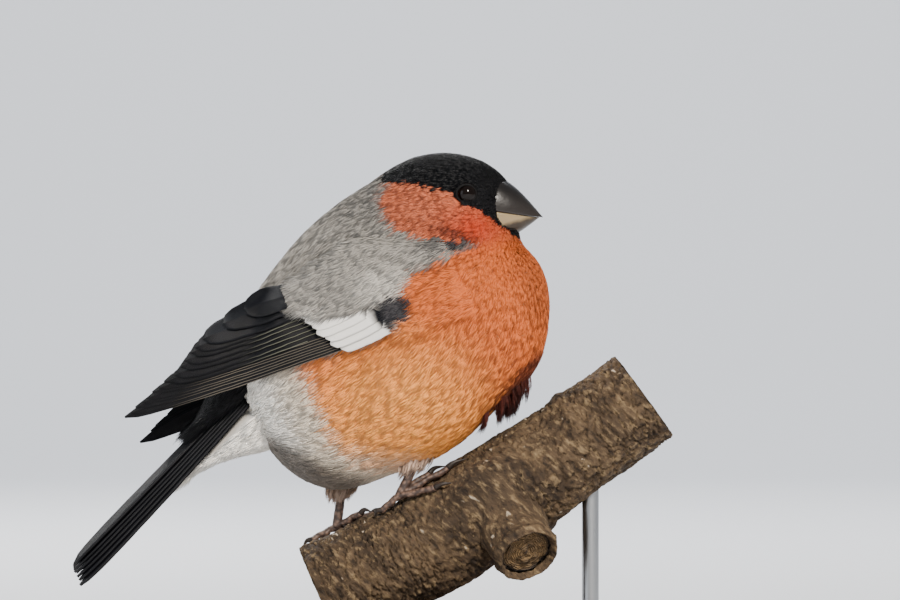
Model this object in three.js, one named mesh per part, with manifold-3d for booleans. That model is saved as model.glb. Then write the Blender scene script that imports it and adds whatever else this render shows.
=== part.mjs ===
// A male bullfinch at rest on a cut length of branch, held up by a plain display stand.
// Millimetres, +Z up. The bird faces +X, its right side is towards -Y, and the stand's underside is at z = 0.
import * as THREE from "three";
import { mergeVertices } from "three/addons/utils/BufferGeometryUtils.js";
import Module from "manifold-3d";

const wasm = await Module();
wasm.setup();

// Driving dimensions
const GAP = 0.3; // left between neighbouring pieces
const WING_LENGTH = 88; // bend of the wing to the tip of its longest primary
const TAIL_LENGTH = 70.5;
const HEAD_HEIGHT = 120.5; // of the middle of the head above the stand's underside
const BLEND = 6; // how softly the forms of the body run into each other
const VANE = 0.55; // thickness of a feather at its root and middle
const VANE_TIP = 0.3;
const RIGHT = -1;
const LEFT = 1;

// Forms of the fluffed winter body: centre in the bird's middle plane, half length, half depth, half width, and
// the tilt of the length above the horizontal in degrees
const BODY_FORMS = [
  { name: "head", x: 5.3, z: HEAD_HEIGHT, length: 16.6, depth: 13.0, width: 12.8, tilt: -6 },
  { name: "belly", x: 0.4, z: 79.8, length: 31.5, depth: 21.1, width: 26.5, tilt: 50.5 },
  { name: "breast", x: 12.8, z: 90.0, length: 18.3, depth: 20.0, width: 22.0, tilt: 30.4 },
  { name: "vent", x: -25.0, z: 75.3, length: 21.7, depth: 28.6, width: 21.5, tilt: 12.7 },
  { name: "back", x: -11.8, z: 97.5, length: 43.2, depth: 25.2, width: 19.5, tilt: 42.6 },
  { name: "throat", x: 23.9, z: 98.3, length: 7.5, depth: 10.4, width: 11.0, tilt: -1.3 },
];
const HEAD_CENTRE = new THREE.Vector3(6, 0, 118);
const TORSO_CENTRE = new THREE.Vector3(-6, 0, 84);
const NECK_TOP = new THREE.Vector3(-12.2, 0, 126.4); // a point on the cut between head and neck
const NECK_NORMAL = new THREE.Vector3(0.45, 0, 0.893).normalize();
const NECK_LENGTH = 9;

// Small tools for shapes
const degrees = THREE.MathUtils.degToRad;
const { lerp, clamp, smoothstep } = THREE.MathUtils;

// A closed geometry as a solid that can be cut and joined, with its faces pointing out.
function solidOf(geometry) {
  const bare = new THREE.BufferGeometry().setAttribute("position", geometry.getAttribute("position"));
  if (geometry.index) bare.setIndex(geometry.index);
  const merged = mergeVertices(bare, 1e-4);
  const triVerts = new Uint32Array(merged.index.array);
  const build = () =>
    new wasm.Manifold(new wasm.Mesh({ numProp: 3, vertProperties: merged.attributes.position.array, triVerts }));
  const made = build();
  if (made.volume() > 0) return made;
  for (let i = 0; i < triVerts.length; i += 3)
    [triVerts[i + 1], triVerts[i + 2]] = [triVerts[i + 2], triVerts[i + 1]];
  return build();
}

function geometryOf(solid) {
  const mesh = solid.getMesh();
  return new THREE.BufferGeometry()
    .setAttribute("position", new THREE.BufferAttribute(new Float32Array(mesh.vertProperties), 3))
    .setIndex(new THREE.BufferAttribute(new Uint32Array(mesh.triVerts), 1));
}

// The largest closed surface of a solid, without loose scraps or sealed hollows.
function largest(solid) {
  return solid.decompose().reduce((a, b) => (b.volume() > a.volume() ? b : a));
}

const joined = (solids) => solids.reduce((a, b) => a.add(b));

// Draws that look random and come out the same each time.
let seed = 7;
function random() {
  seed = (seed * 16807) % 2147483647;
  return seed / 2147483647;
}
const vary = (amount) => amount * (2 * random() - 1);
const shares = (count) => Array.from({ length: count }, (_, i) => (count > 1 ? i / (count - 1) : 0.5));

// Moves every vertex of a geometry to where a function puts it.
function shaped(geometry, place) {
  const position = geometry.getAttribute("position");
  const point = new THREE.Vector3();
  for (let i = 0; i < position.count; i++) {
    point.fromBufferAttribute(position, i);
    const moved = place(point);
    position.setXYZ(i, moved.x, moved.y, moved.z);
  }
  return geometry;
}

// A sheet with thickness: place gets a share along from 0 to 1, a share across from -1 to 1, and 0 inside or 1 outside.
function sheet(along, across, place) {
  const box = new THREE.BoxGeometry(1, 1, 1, along, across, 1);
  return solidOf(shaped(box, (p) => place(p.x + 0.5, 2 * p.y, p.z + 0.5)));
}

// One feather as a blade from its sunk root to its rounded tip. Root and tip are places on the wing's or tail's own
// surface, base is the blade's height above it, and slope is how much its lower edge stands up over its neighbour.
function vane({ root, tip, halfWidth, base, slope, steps = 5, pointAt }) {
  const run = new THREE.Vector2(tip[0] - root[0], tip[1] - root[1]);
  const side = new THREE.Vector2(-run.y, run.x).normalize();
  return sheet(steps, 2, (u, v, out) => {
    const width = halfWidth * Math.min(1, 0.72 + 0.6 * u) * Math.sqrt(1 - 0.985 * u ** 4);
    const along = root[0] + run.x * u + side.x * v * width;
    const across = root[1] + run.y * u + side.y * v * width;
    const lift = base + slope * (halfWidth - v * width) + out * lerp(VANE, VANE_TIP, u ** 3);
    return pointAt(along, across, lift);
  });
}

// A round limb along a curve, with a radius that changes along it.
function limb(curve, radiusAt, sides, steps) {
  const frames = curve.computeFrenetFrames(steps, false);
  const tube = new THREE.CylinderGeometry(1, 1, 1, sides, steps);
  return solidOf(
    shaped(tube, (p) => {
      const share = 0.5 - p.y;
      const step = Math.round(share * steps);
      return curve
        .getPoint(share)
        .addScaledVector(frames.normals[step], p.x * radiusAt(share))
        .addScaledVector(frames.binormals[step], p.z * radiusAt(share));
    }),
  );
}

// Distance from a point to one form of the body, below zero inside it.
function formDistance(point, form) {
  const tilt = degrees(form.tilt);
  const dx = point.x - form.x;
  const dz = point.z - form.z;
  const local = [dx * Math.cos(tilt) + dz * Math.sin(tilt), point.y, dz * Math.cos(tilt) - dx * Math.sin(tilt)];
  const radii = [form.length, form.width, form.depth];
  const near = Math.hypot(...local.map((v, i) => v / radii[i]));
  const slope = Math.hypot(...local.map((v, i) => v / radii[i] ** 2));
  return slope > 0 ? (near * (near - 1)) / slope : -form.depth;
}

// Distance from a point to the whole body, whose forms run softly into each other.
function bodyDistance(point) {
  return BODY_FORMS.map((form) => formDistance(point, form)).reduce((a, b) => {
    const share = clamp(0.5 + (0.5 * (b - a)) / BLEND, 0, 1);
    return lerp(b, a, share) - BLEND * share * (1 - share);
  });
}

// How far along a ray the body's surface lies, or the surface that is offset from it.
function reach(origin, direction, offset, farthest) {
  let near = 0;
  let far = farthest;
  for (let i = 0; i < 30; i++) {
    const middle = (near + far) / 2;
    const point = origin.clone().addScaledVector(direction, middle);
    if (bodyDistance(point) < offset) near = middle;
    else far = middle;
  }
  return near;
}

// The body's surface as seen from a point inside it.
function bodyAround(centre, offset, around, upright) {
  const ball = new THREE.SphereGeometry(1, around, upright).rotateX(Math.PI / 2);
  return solidOf(
    shaped(ball, (p) => {
      const direction = p.clone().normalize();
      return centre.clone().addScaledVector(direction, reach(centre, direction, offset, 120));
    }),
  );
}

// Half the body's width at a place in its middle plane.
function halfWidth(x, z) {
  const origin = new THREE.Vector3(x, 0, z);
  if (bodyDistance(origin) >= 0) return 0;
  return reach(origin, new THREE.Vector3(0, 1, 0), 0, 40);
}

// A large block that fills the side of a plane that its normal points to.
function halfSpace(point, normal) {
  const size = 400;
  const turn = new THREE.Quaternion().setFromUnitVectors(new THREE.Vector3(0, 0, 1), normal);
  const block = new THREE.BoxGeometry(size, size, size).translate(0, 0, size / 2);
  return solidOf(block.applyQuaternion(turn).translate(point.x, point.y, point.z));
}

// Head, neck and torso
const EYE = { x: 10.7, z: 123.6, radius: 2.9, seen: 2.25 };
const eyeDepth = () => halfWidth(EYE.x, EYE.z) - Math.sqrt(EYE.radius ** 2 - EYE.seen ** 2) - 0.3;

function eyeBall(side, grow) {
  return solidOf(
    new THREE.SphereGeometry(EYE.radius + grow, 14, 10).translate(EYE.x, side * eyeDepth(), EYE.z),
  );
}

// The ring of bare lid that stands a little proud around the eye.
function lidRing(side) {
  const turned = new THREE.TorusGeometry(EYE.seen + 0.25, 0.5, 5, 16).rotateX(Math.PI / 2).rotateZ(side * -0.28);
  return solidOf(turned.translate(EYE.x, side * (halfWidth(EYE.x, EYE.z) - 0.05), EYE.z));
}

const headSkin = bodyAround(HEAD_CENTRE, 0, 36, 24);
const headClear = bodyAround(HEAD_CENTRE, GAP, 36, 24);
const torsoSkin = bodyAround(TORSO_CENTRE, 0, 36, 24);
const torsoClear = bodyAround(TORSO_CENTRE, GAP, 36, 24);
const neckBase = NECK_TOP.clone().addScaledVector(NECK_NORMAL, -NECK_LENGTH);
const offsetBy = (point, distance) => point.clone().addScaledVector(NECK_NORMAL, distance);

function head() {
  const above = headSkin.intersect(halfSpace(offsetBy(NECK_TOP, GAP / 2), NECK_NORMAL));
  return [RIGHT, LEFT].reduce((made, side) => made.add(lidRing(side)).subtract(eyeBall(side, GAP)), above);
}

function neck() {
  return headSkin
    .subtract(halfSpace(offsetBy(NECK_TOP, -GAP / 2), NECK_NORMAL))
    .intersect(halfSpace(offsetBy(neckBase, GAP / 2), NECK_NORMAL));
}

// Locks of loose breast feathers that hang from the lower breast, each from a sunk root to a fine tip.
const BREAST_LOCKS = { count: 8, short: 4.5, long: 8.5, radius: 2.1, from: 17.5, to: 28.5, spread: 11 };

function breastLock(share, row) {
  const { short, long, radius, from, to, spread } = BREAST_LOCKS;
  const x = lerp(from, to, share) + vary(0.5);
  const y = spread * (row - 0.5) + vary(2);
  let z = TORSO_CENTRE.z;
  while (bodyDistance(new THREE.Vector3(x, y, z)) < 0) z -= 0.25;
  const root = new THREE.Vector3(x - 1, y, z + 4);
  const tip = new THREE.Vector3(x + vary(1.2), y + vary(1), z - lerp(short, long, share) * lerp(0.75, 1, random()));
  const middle = root.clone().lerp(tip, 0.5).add(new THREE.Vector3(0.8, 0, 0));
  return limb(new THREE.QuadraticBezierCurve3(root, middle, tip), (u) => radius * Math.max(1 - u ** 1.6, 0.08), 5, 3);
}

function torso() {
  const below = torsoSkin.subtract(halfSpace(offsetBy(neckBase, -GAP / 2), NECK_NORMAL));
  const locks = shares(BREAST_LOCKS.count).map((share, i) => breastLock(share, (i * 0.62) % 1));
  return largest(joined([below, ...locks]));
}

// Bill
const BILL = {
  tip: new THREE.Vector3(30.7, 0, 117.7),
  gape: new THREE.Vector3(14.5, 0, 119.8),
  culmen: new THREE.Vector3(17.5, 0, 128.6), // top of the upper bill's root, under the feathers
  chin: new THREE.Vector3(17.5, 0, 112.0), // bottom of the lower bill's root, under the feathers
  halfWidth: 5.7,
  hook: 0.9, // how far the upper bill's point reaches past the lower one's
};

// One half of the bill: a stout cone from its root to its point, flat where it meets the other half.
function billHalf(rootEdge, bulge, tip) {
  return sheet(9, 8, (along, across, out) => {
    const flat = BILL.gape.clone().lerp(tip, along);
    const edge = rootEdge.clone().lerp(tip, along);
    edge.z += bulge * Math.sin(Math.PI * along ** 0.85);
    const width = BILL.halfWidth * (1 - along ** 1.7) ** 0.75 + 0.12;
    const angle = (across * Math.PI) / 2;
    const height = out ? Math.cos(angle) : 0;
    const side = Math.sin(angle) * width;
    return new THREE.Vector3(lerp(flat.x, edge.x, height), side, lerp(flat.z, edge.z, height));
  });
}

function upperBill() {
  return billHalf(BILL.culmen, 1.9, BILL.tip).subtract(headClear);
}

function lowerBill() {
  const tip = BILL.tip.clone().add(new THREE.Vector3(-BILL.hook, 0, 0.1));
  return billHalf(BILL.chin, -1.5, tip).translate(0, 0, -GAP).subtract(headClear);
}

// Wings
// A wing is laid out flat, along from its bend to its tip and across towards the back, and then folded over the body.
const WING_BEND = { x: 3.9, z: 99.3 };
const WING_DROOP = { [RIGHT]: 22.5, [LEFT]: 27.5 }; // of the wing's length below the horizontal, in degrees
const WING_EDGE = { low: -6, high: 15 }; // the folded wing's lower and upper edge, across its length

function wingPoint(side, along, across, lift) {
  const droop = degrees(WING_DROOP[side]);
  const x = WING_BEND.x - along * Math.cos(droop) - across * Math.sin(droop);
  const z = WING_BEND.z - along * Math.sin(droop) + across * Math.cos(droop);
  const share = clamp(along / WING_LENGTH, 0, 1);
  const up = clamp((across - WING_EDGE.low) / (WING_EDGE.high - WING_EDGE.low), 0, 1);
  const folded = lerp(lerp(23, 8.5, share), lerp(14, 5, share), up ** 1.5);
  const onBody = halfWidth(x, z) + 2 * GAP;
  const softness = 2;
  const apart = Math.max(softness - Math.abs(folded - onBody), 0);
  return new THREE.Vector3(x, side * (Math.max(folded, onBody) + apart ** 2 / (4 * softness) + lift), z);
}

// The arm of the wing: a pad over the body with a round front, whose far end slants back towards its upper edge.
const PAD = { front: -2, thick: 3.6, slant: 0.57, end: 26 };
const COVERT_LINE = 29; // where the greater coverts end on the wing's lower edge
const padLow = (along) => WING_EDGE.low + 9 * (1 - smoothstep(along, PAD.front, 16));
const padHigh = (along) => WING_EDGE.high - 7 * (1 - smoothstep(along, PAD.front, 14));
const padTop = (along, across) => {
  const middle = (WING_EDGE.low + WING_EDGE.high) / 2;
  const edge = clamp(Math.abs(across - middle) / (WING_EDGE.high - middle), 0, 1);
  return 0.8 + (PAD.thick - 0.8) * smoothstep(along, PAD.front, 22) * (1 - 0.35 * edge ** 2);
};

// Flight feathers in their order from the wing's lower edge up, each group laid over the one before it: how many, the
// first and last root, the first and last tip, half a feather's width, and its height over the body's side.
const FLIGHT = [
  { count: 5, roots: [[27, -3.4], [32, 1.9]], tips: [[88, 0.4], [75.5, 4.3]], halfWidth: 2.6, base: [0, 1.2] },
  { count: 4, roots: [[32, 3.6], [34, 8.6]], tips: [[72.5, 5.4], [65, 9.8]], halfWidth: 3.2, base: [1.5, 1.6] },
  { count: 3, roots: [[34, 9.4], [36, 12.2]], tips: [[62, 11.2], [49.5, 14.2]], halfWidth: 3.3, base: [1.9, 2.6] },
];
// Rows of coverts over the arm: how many, where their tips end on the lower edge, their length and half width.
const COVERT_ROWS = [
  { name: "greater", count: 6, end: COVERT_LINE, length: 13, halfWidth: 2.7 },
  { name: "median", count: 5, end: COVERT_LINE - 11, length: 9, halfWidth: 2.8 },
];

function flightFeathers(pointAt) {
  return FLIGHT.flatMap(({ count, roots, tips, halfWidth, base }) =>
    shares(count).map((share) => {
      const root = roots[0].map((from, i) => lerp(from, roots[1][i], share));
      const tip = tips[0].map((from, i) => lerp(from, tips[1][i], share) + vary(0.25));
      return vane({ root, tip, halfWidth, base: lerp(...base, share), slope: 0.42, steps: 4, pointAt });
    }),
  );
}

function coverts(pointAt) {
  return COVERT_ROWS.flatMap(({ count, end, length, halfWidth }) =>
    shares(count).map((share) => {
      const across = lerp(WING_EDGE.low + 1.6, WING_EDGE.high - 2.4, share);
      const along = end + (across - WING_EDGE.low) * PAD.slant + vary(0.4);
      const root = [along - length, across + 0.6];
      const base = padTop(along - length / 2, across) - 0.35;
      return vane({ root, tip: [along, across], halfWidth, base, slope: 0.26, steps: 4, pointAt });
    }),
  );
}

function wing(side) {
  const pointAt = (along, across, lift) => wingPoint(side, along, across, lift);
  const pad = sheet(8, 4, (u, v, out) => {
    const straight = lerp(PAD.front, PAD.end, u);
    const across = lerp(padLow(straight), padHigh(straight), (v + 1) / 2);
    const along = straight + u * (across - WING_EDGE.low) * PAD.slant;
    return pointAt(along, across, out ? padTop(along, across) : -1.5);
  });
  return largest(joined([pad, ...flightFeathers(pointAt), ...coverts(pointAt)]).subtract(torsoClear));
}

// Tail
const TAIL_ROOT = new THREE.Vector3(-44.2, 0, 77.2);
const TAIL_DROP = 45.8; // of the tail's length below the horizontal, in degrees
const TAIL_TWIST = 13; // its left edge hangs lower than its right one, in degrees
const tailAlong = new THREE.Vector3(-Math.cos(degrees(TAIL_DROP)), 0, -Math.sin(degrees(TAIL_DROP)));
const tailAcross = new THREE.Vector3(0, 1, 0).applyAxisAngle(tailAlong, degrees(-TAIL_TWIST));
const tailUp = tailAlong.clone().cross(tailAcross).normalize();
if (tailUp.z < 0) tailUp.negate();

// A point on the tail: along from its root, across to its left edge, and up from its feathers' own arched surface.
function tailPoint(along, across, up) {
  const arch = -0.022 * across * across;
  return TAIL_ROOT.clone()
    .addScaledVector(tailAlong, along)
    .addScaledVector(tailAcross, across)
    .addScaledVector(tailUp, up + arch);
}

// Feathers of one side of the tail, from the middle pair out: roots, tips, half width and height.
const TAIL_SIDE = { count: 6, roots: [[4, 0.8], [6, 5.2]], tips: [[TAIL_LENGTH - 2.5, 1], [TAIL_LENGTH, 8.1]], halfWidth: 2.8, drop: 1.5 };

function tail() {
  const pad = sheet(3, 4, (u, v, out) => tailPoint(lerp(-2, 11, u), v * lerp(6.5, 7.5, u), lerp(-3.6, 0.9, out)));
  const { count, roots, tips, halfWidth, drop } = TAIL_SIDE;
  const blades = [RIGHT, LEFT].flatMap((side) =>
    shares(count).map((share) => {
      const root = roots[0].map((from, i) => lerp(from, roots[1][i], share));
      const tip = tips[0].map((from, i) => lerp(from, tips[1][i], share) + vary(0.3));
      const pointAt = (along, across, lift) => tailPoint(along, side * across, lift);
      // The two feathers of the middle pair cross, so the right one lies on top.
      const base = share === 0 && side === RIGHT ? 0.55 : -0.35 - drop * share;
      return vane({ root, tip, halfWidth, base, slope: -0.36, pointAt });
    }),
  );
  return largest(joined([pad, ...blades]).subtract(torsoClear));
}

// A soft pad of small feathers over or under the tail's root, with a row of longer ones out of its end.
function coverPad({ from, to, halfWidth, thick, count, reachOut, blade, sign, clear }) {
  const pad = sheet(6, 6, (u, v, out) => {
    const along = lerp(from, to, u);
    const width = halfWidth * Math.sqrt(1 - 0.75 * u ** 3);
    const bulge = 0.7 + thick * (1 - smoothstep(along, from + 3, to + 3)) * Math.sqrt(1 - 0.9 * v * v);
    return tailPoint(along, v * width, sign * (clear + out * bulge));
  });
  const blades = shares(count).map((share) => {
    const across = lerp(-1, 1, share);
    const length = reachOut * (1 - 0.4 * across ** 2) + vary(0.5);
    const root = [to - 7, across * halfWidth * 0.62];
    const tip = [to + length, across * halfWidth * 0.55];
    const pointAt = (along, over, lift) => tailPoint(along, over, sign * lift);
    const base = clear + 0.12 + 0.5 * (1 - Math.abs(across));
    return vane({ root, tip, halfWidth: blade, base, slope: 0, steps: 4, pointAt });
  });
  return largest(joined([pad, ...blades]).subtract(torsoClear));
}

const TAIL_OVER = 1.6; // height of the tail's upper side over its own surface, with the gap
const TAIL_UNDER = 4.4; // depth of its under side, with the gap
const upperTailCoverts = () =>
  coverPad({ from: 0, to: 19, halfWidth: 8, thick: 5.5, count: 5, reachOut: 9, blade: 2.4, sign: 1, clear: TAIL_OVER });
const underTailCoverts = () =>
  coverPad({ from: 0, to: 29, halfWidth: 10, thick: 15, count: 5, reachOut: 9, blade: 2.6, sign: -1, clear: TAIL_UNDER });

// Perch
const PERCH_LINE = new THREE.CatmullRomCurve3([
  new THREE.Vector3(-27, 0, 19.4),
  new THREE.Vector3(-12, 0, 26.4),
  new THREE.Vector3(1.5, 0, 33.2),
  new THREE.Vector3(22.5, 0, 47.6),
  new THREE.Vector3(42.5, 0, 60.6),
  new THREE.Vector3(57, 0, 71.2),
]);
const PERCH_STUB = { share: 0.56, radius: 7.8, length: 23, towards: new THREE.Vector3(0.35, -0.72, -0.6) };
const perchRadius = (share) => lerp(13.4, 12.6, share) + 0.9 * Math.exp(-(((share - 0.52) / 0.16) ** 2));

// A point on the perch's bark: a share along its line, and an angle round it from the top towards the left.
function perchPoint(share, angle, lift) {
  const ahead = PERCH_LINE.getTangent(clamp(share, 0, 1));
  const left = new THREE.Vector3(0, 1, 0);
  const up = ahead.clone().cross(left);
  const rough =
    0.22 * Math.sin(3 * angle + 9 * share) + 0.16 * Math.sin(5 * angle - 23 * share) + 0.12 * Math.sin(31 * share);
  return PERCH_LINE.getPoint(clamp(share, 0, 1))
    .addScaledVector(up, Math.cos(angle) * (perchRadius(share) + rough + lift))
    .addScaledVector(left, Math.sin(angle) * (perchRadius(share) + rough + lift));
}

function branch(grow) {
  const log = new THREE.CylinderGeometry(1, 1, 1, 22, 18);
  const shaft = shaped(log, (p) => {
    const share = p.y + 0.5;
    const centre = PERCH_LINE.getPoint(share);
    const round = Math.hypot(p.x, p.z);
    return centre.lerp(perchPoint(share, Math.atan2(p.x, p.z), grow), round);
  });
  const { share, radius, length, towards } = PERCH_STUB;
  const stub = new THREE.CylinderGeometry(radius * 0.95 + grow, radius * 1.35 + grow, length + grow, 16, 3)
    .translate(0, (length + grow) / 2, 0)
    .applyQuaternion(new THREE.Quaternion().setFromUnitVectors(new THREE.Vector3(0, 1, 0), towards.clone().normalize()));
  const middle = PERCH_LINE.getPoint(share);
  return largest(solidOf(shaft).add(solidOf(stub.translate(middle.x, middle.y, middle.z))));
}

const perchClear = branch(GAP);

// Legs
// Each foot stands on the bark at a share along the perch and an angle round it, and its toes follow the bark.
const FEET = { [RIGHT]: { share: 0.386, angle: -0.42 }, [LEFT]: { share: 0.13, angle: 0.42 } };
const TARSUS_TOP = { [RIGHT]: { x: 1.5, z: 62 }, [LEFT]: { x: -20.5, z: 56 } };
const TOE_RADIUS = 1.05;
const CLAW = 4.2; // length of the curved claw at the end of a toe
const TOES = [
  { name: "inner", length: 9.5, turn: -0.42 },
  { name: "middle", length: 13, turn: 0 },
  { name: "outer", length: 10, turn: 0.4 },
  { name: "hind", length: 8, turn: Math.PI },
];

function toe(side, { length, turn }) {
  const foot = FEET[side];
  const whole = length + CLAW;
  const perchLength = PERCH_LINE.getLength();
  const points = [0, 0.18, 0.36, 0.54, 0.72, 0.86, 1].map((u) => {
    const run = u * whole;
    const onClaw = Math.max(run - length, 0) / CLAW;
    const knuckles = 0.35 * Math.sin(Math.PI * u * 3) ** 2;
    const height = 1.5 * (1 - u) + TOE_RADIUS * 0.75 + knuckles + 0.5 * Math.sin(Math.PI * onClaw) - 0.3 * onClaw;
    const sideways = (Math.sin(turn) * run * -side) / perchRadius(foot.share);
    return perchPoint(foot.share + (Math.cos(turn) * run) / perchLength, foot.angle + sideways, height);
  });
  const thickness = (u) => {
    const onClaw = clamp((u * whole - length) / CLAW, 0, 1);
    return lerp(TOE_RADIUS * (1.05 - 0.25 * u), 0.12, onClaw ** 0.8);
  };
  return limb(new THREE.CatmullRomCurve3(points), thickness, 7, 10);
}

function leg(side) {
  const foot = FEET[side];
  const ankle = perchPoint(foot.share, foot.angle, 2.3);
  const top = new THREE.Vector3(TARSUS_TOP[side].x, side * 6.5, TARSUS_TOP[side].z);
  const shank = limb(new THREE.LineCurve3(ankle, top), (u) => lerp(1.35, 1.15, u), 8, 3);
  const whole = joined([shank, ...TOES.map((one) => toe(side, one))]);
  return largest(whole.subtract(perchClear).subtract(torsoClear));
}

// Stand
const BASE = { length: 118, width: 78, height: 6.5, corner: 14, bevel: 1.2 };
const RODS = { rear: -15, front: 43 }; // each rod's place along the base
const ROD_RADIUS = 2.2;

function standBase() {
  const outline = new THREE.Shape();
  const x = BASE.length / 2 - BASE.bevel;
  const y = BASE.width / 2 - BASE.bevel;
  const corner = BASE.corner - BASE.bevel;
  outline.moveTo(-x + corner, -y);
  outline.lineTo(x - corner, -y).absarc(x - corner, -y + corner, corner, -Math.PI / 2, 0, false);
  outline.lineTo(x, y - corner).absarc(x - corner, y - corner, corner, 0, Math.PI / 2, false);
  outline.lineTo(-x + corner, y).absarc(-x + corner, y - corner, corner, Math.PI / 2, Math.PI, false);
  outline.lineTo(-x, -y + corner).absarc(-x + corner, -y + corner, corner, Math.PI, 1.5 * Math.PI, false);
  const plate = new THREE.ExtrudeGeometry(outline, {
    depth: BASE.height - 2 * BASE.bevel,
    bevelThickness: BASE.bevel,
    bevelSize: BASE.bevel,
    bevelSegments: 2,
    curveSegments: 4,
  });
  return solidOf(plate.translate(0, 0, BASE.bevel));
}

// A rod from the base up into the middle of the perch, of which the part below the bark is kept.
function standRod(x) {
  const foot = BASE.height + GAP;
  const length = PERCH_LINE.getSpacedPoints(100).find((point) => point.x >= x).z - foot;
  const rod = new THREE.CylinderGeometry(ROD_RADIUS, ROD_RADIUS, length, 16)
    .rotateX(Math.PI / 2)
    .translate(x, 0, foot + length / 2);
  return largest(solidOf(rod).subtract(perchClear));
}

// Materials
const finish = (color, roughness, metalness = 0) => new THREE.MeshStandardMaterial({ color, roughness, metalness });
const BREAST = finish(0xd9713b, 0.85);
const CAP = finish(0x17181c, 0.55);
const GREY = finish(0x99979a, 0.85);
const BLACK_FEATHER = finish(0x14161b, 0.4);
const WHITE_FEATHER = finish(0xe9e6e1, 0.85);
const HORN = finish(0x4a443e, 0.35);
const EYE_GLOSS = finish(0x0b0908, 0.08);
const LEG = finish(0x4c3b36, 0.6);
const BARK = finish(0x5b4a3b, 0.9);
const STAND_WOOD = finish(0x3a2a20, 0.45);
const STEEL = finish(0x8d8f92, 0.3, 1);

const bullfinch = new THREE.Group();
function place(name, solid, material) {
  const mesh = new THREE.Mesh(geometryOf(solid), material);
  mesh.name = name;
  bullfinch.add(mesh);
}

place("head", head(), CAP);
place("neck", neck(), BREAST);
place("torso", torso(), BREAST);
place("bill_upper", largest(upperBill()), HORN);
place("bill_lower", largest(lowerBill()), HORN);
for (const [name, side] of [["right", RIGHT], ["left", LEFT]]) {
  place(`eye_${name}`, eyeBall(side, 0), EYE_GLOSS);
  place(`wing_${name}`, wing(side), BLACK_FEATHER);
  place(`leg_${name}`, leg(side), LEG);
}
place("tail", tail(), BLACK_FEATHER);
place("uppertail_coverts", upperTailCoverts(), BLACK_FEATHER);
place("undertail_coverts", underTailCoverts(), WHITE_FEATHER);
place("perch", branch(0), BARK);
place("stand_base", standBase(), STAND_WOOD);
for (const [name, x] of Object.entries(RODS)) place(`stand_rod_${name}`, standRod(x), STEEL);

export default bullfinch;
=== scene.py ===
import math
from functools import partial

import bpy
import numpy as np
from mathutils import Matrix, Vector, noise


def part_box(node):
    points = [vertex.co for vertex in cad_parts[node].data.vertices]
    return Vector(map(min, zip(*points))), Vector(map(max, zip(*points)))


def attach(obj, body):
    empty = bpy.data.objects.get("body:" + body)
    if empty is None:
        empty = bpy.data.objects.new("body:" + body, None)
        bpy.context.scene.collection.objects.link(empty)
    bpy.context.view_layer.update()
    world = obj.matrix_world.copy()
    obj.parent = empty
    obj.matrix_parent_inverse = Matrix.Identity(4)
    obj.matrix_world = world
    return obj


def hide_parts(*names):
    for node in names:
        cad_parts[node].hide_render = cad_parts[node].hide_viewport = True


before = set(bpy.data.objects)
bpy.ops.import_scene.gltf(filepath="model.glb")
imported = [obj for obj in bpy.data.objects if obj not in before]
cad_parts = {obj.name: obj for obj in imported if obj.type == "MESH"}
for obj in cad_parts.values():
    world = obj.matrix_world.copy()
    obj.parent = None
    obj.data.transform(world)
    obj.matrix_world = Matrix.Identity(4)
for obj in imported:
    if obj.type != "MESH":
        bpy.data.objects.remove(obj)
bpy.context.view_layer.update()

bl_info = {
    "name": "Bullfinch model",
    "version": (1, 0, 0),
    "blender": (4, 5, 0),
    "location": "View3D > Sidebar > Bullfinch",
    "description": "Dresses a life-size bullfinch and its stand with plumage, bark and finishes",
    "category": "Add Mesh",
}

# Sizes are in millimetres here and become metres when a mesh is made.
# The bird faces +X, and its right side is towards -Y.
MM = 0.001
BODY = "root"
RIGHT, LEFT = -1, 1
SIDES = {"right": RIGHT, "left": LEFT}

# Forms of the body: centre x and z, half length, half depth, half width, tilt in degrees.
FORMS = {
    "head": (5.3, 120.5, 16.6, 13.0, 12.8, -6),
    "belly": (0.4, 79.8, 31.5, 21.1, 26.5, 50.5),
    "breast": (12.8, 90.0, 18.3, 20.0, 22.0, 30.4),
    "vent": (-25.0, 75.3, 21.7, 28.6, 21.5, 12.7),
    "back": (-11.8, 97.5, 43.2, 25.2, 19.5, 42.6),
    "throat": (23.9, 98.3, 7.5, 10.4, 11.0, -1.3),
}
FORM_BLEND = 6.0
BODY_CENTRE = np.array([-1.0, 0.0, 97.0])
COAT_DEPTH = 1.3
# Multiples of these steps, less their whole parts, are spread evenly over a line and a square.
EVEN_STEP, EVEN_STEP_ACROSS = 0.7548776662, 0.5698402910
SMOOTH_ANGLE = math.radians(35)

EYE = {"x": 10.7, "z": 123.6, "radius": 2.9, "seen": 2.25}
# The middle of the face, where the bill starts. Feathers grow smaller towards it.
BILL_ROOT = np.array([21.0, 0, 119.5])
BILL_TIP = np.array([30.7, 0.0, 117.7])
BILL_GAPE = np.array([14.5, 0.0, 119.8])
BILL_CULMEN = np.array([17.5, 0.0, 128.6])
BILL_CHIN = np.array([17.5, 0.0, 112.0])
BILL_HALF_WIDTH = 6.4
MOUTH_BOW = -0.25
LID_THICKNESS = 0.68
# Only feathers further than this from the middle plane can reach an eye.
EYE_SIDE = 4

WING_BEND = (3.9, 99.3)
WING_DROOP = {RIGHT: 22.5, LEFT: 27.5}
WING_LENGTH = 88.0
WING_LOW, WING_HIGH = -6.0, 15.0
# How far the folded wing stands out at its lower and its upper edge, each at its bend and its tip.
WING_OUT_LOW, WING_OUT_HIGH = (23.0, 8.5), (14.0, 5.0)
WING_FOLD_SOFTNESS = 2.0

TAIL_ROOT = np.array([-44.2, 0.0, 77.2])
TAIL_DROP, TAIL_TWIST = 45.8, 13.0
TAIL_LENGTH = 70.5
TAIL_ARCH = 0.022
TAIL_FEATHERS_A_SIDE = 6


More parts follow.
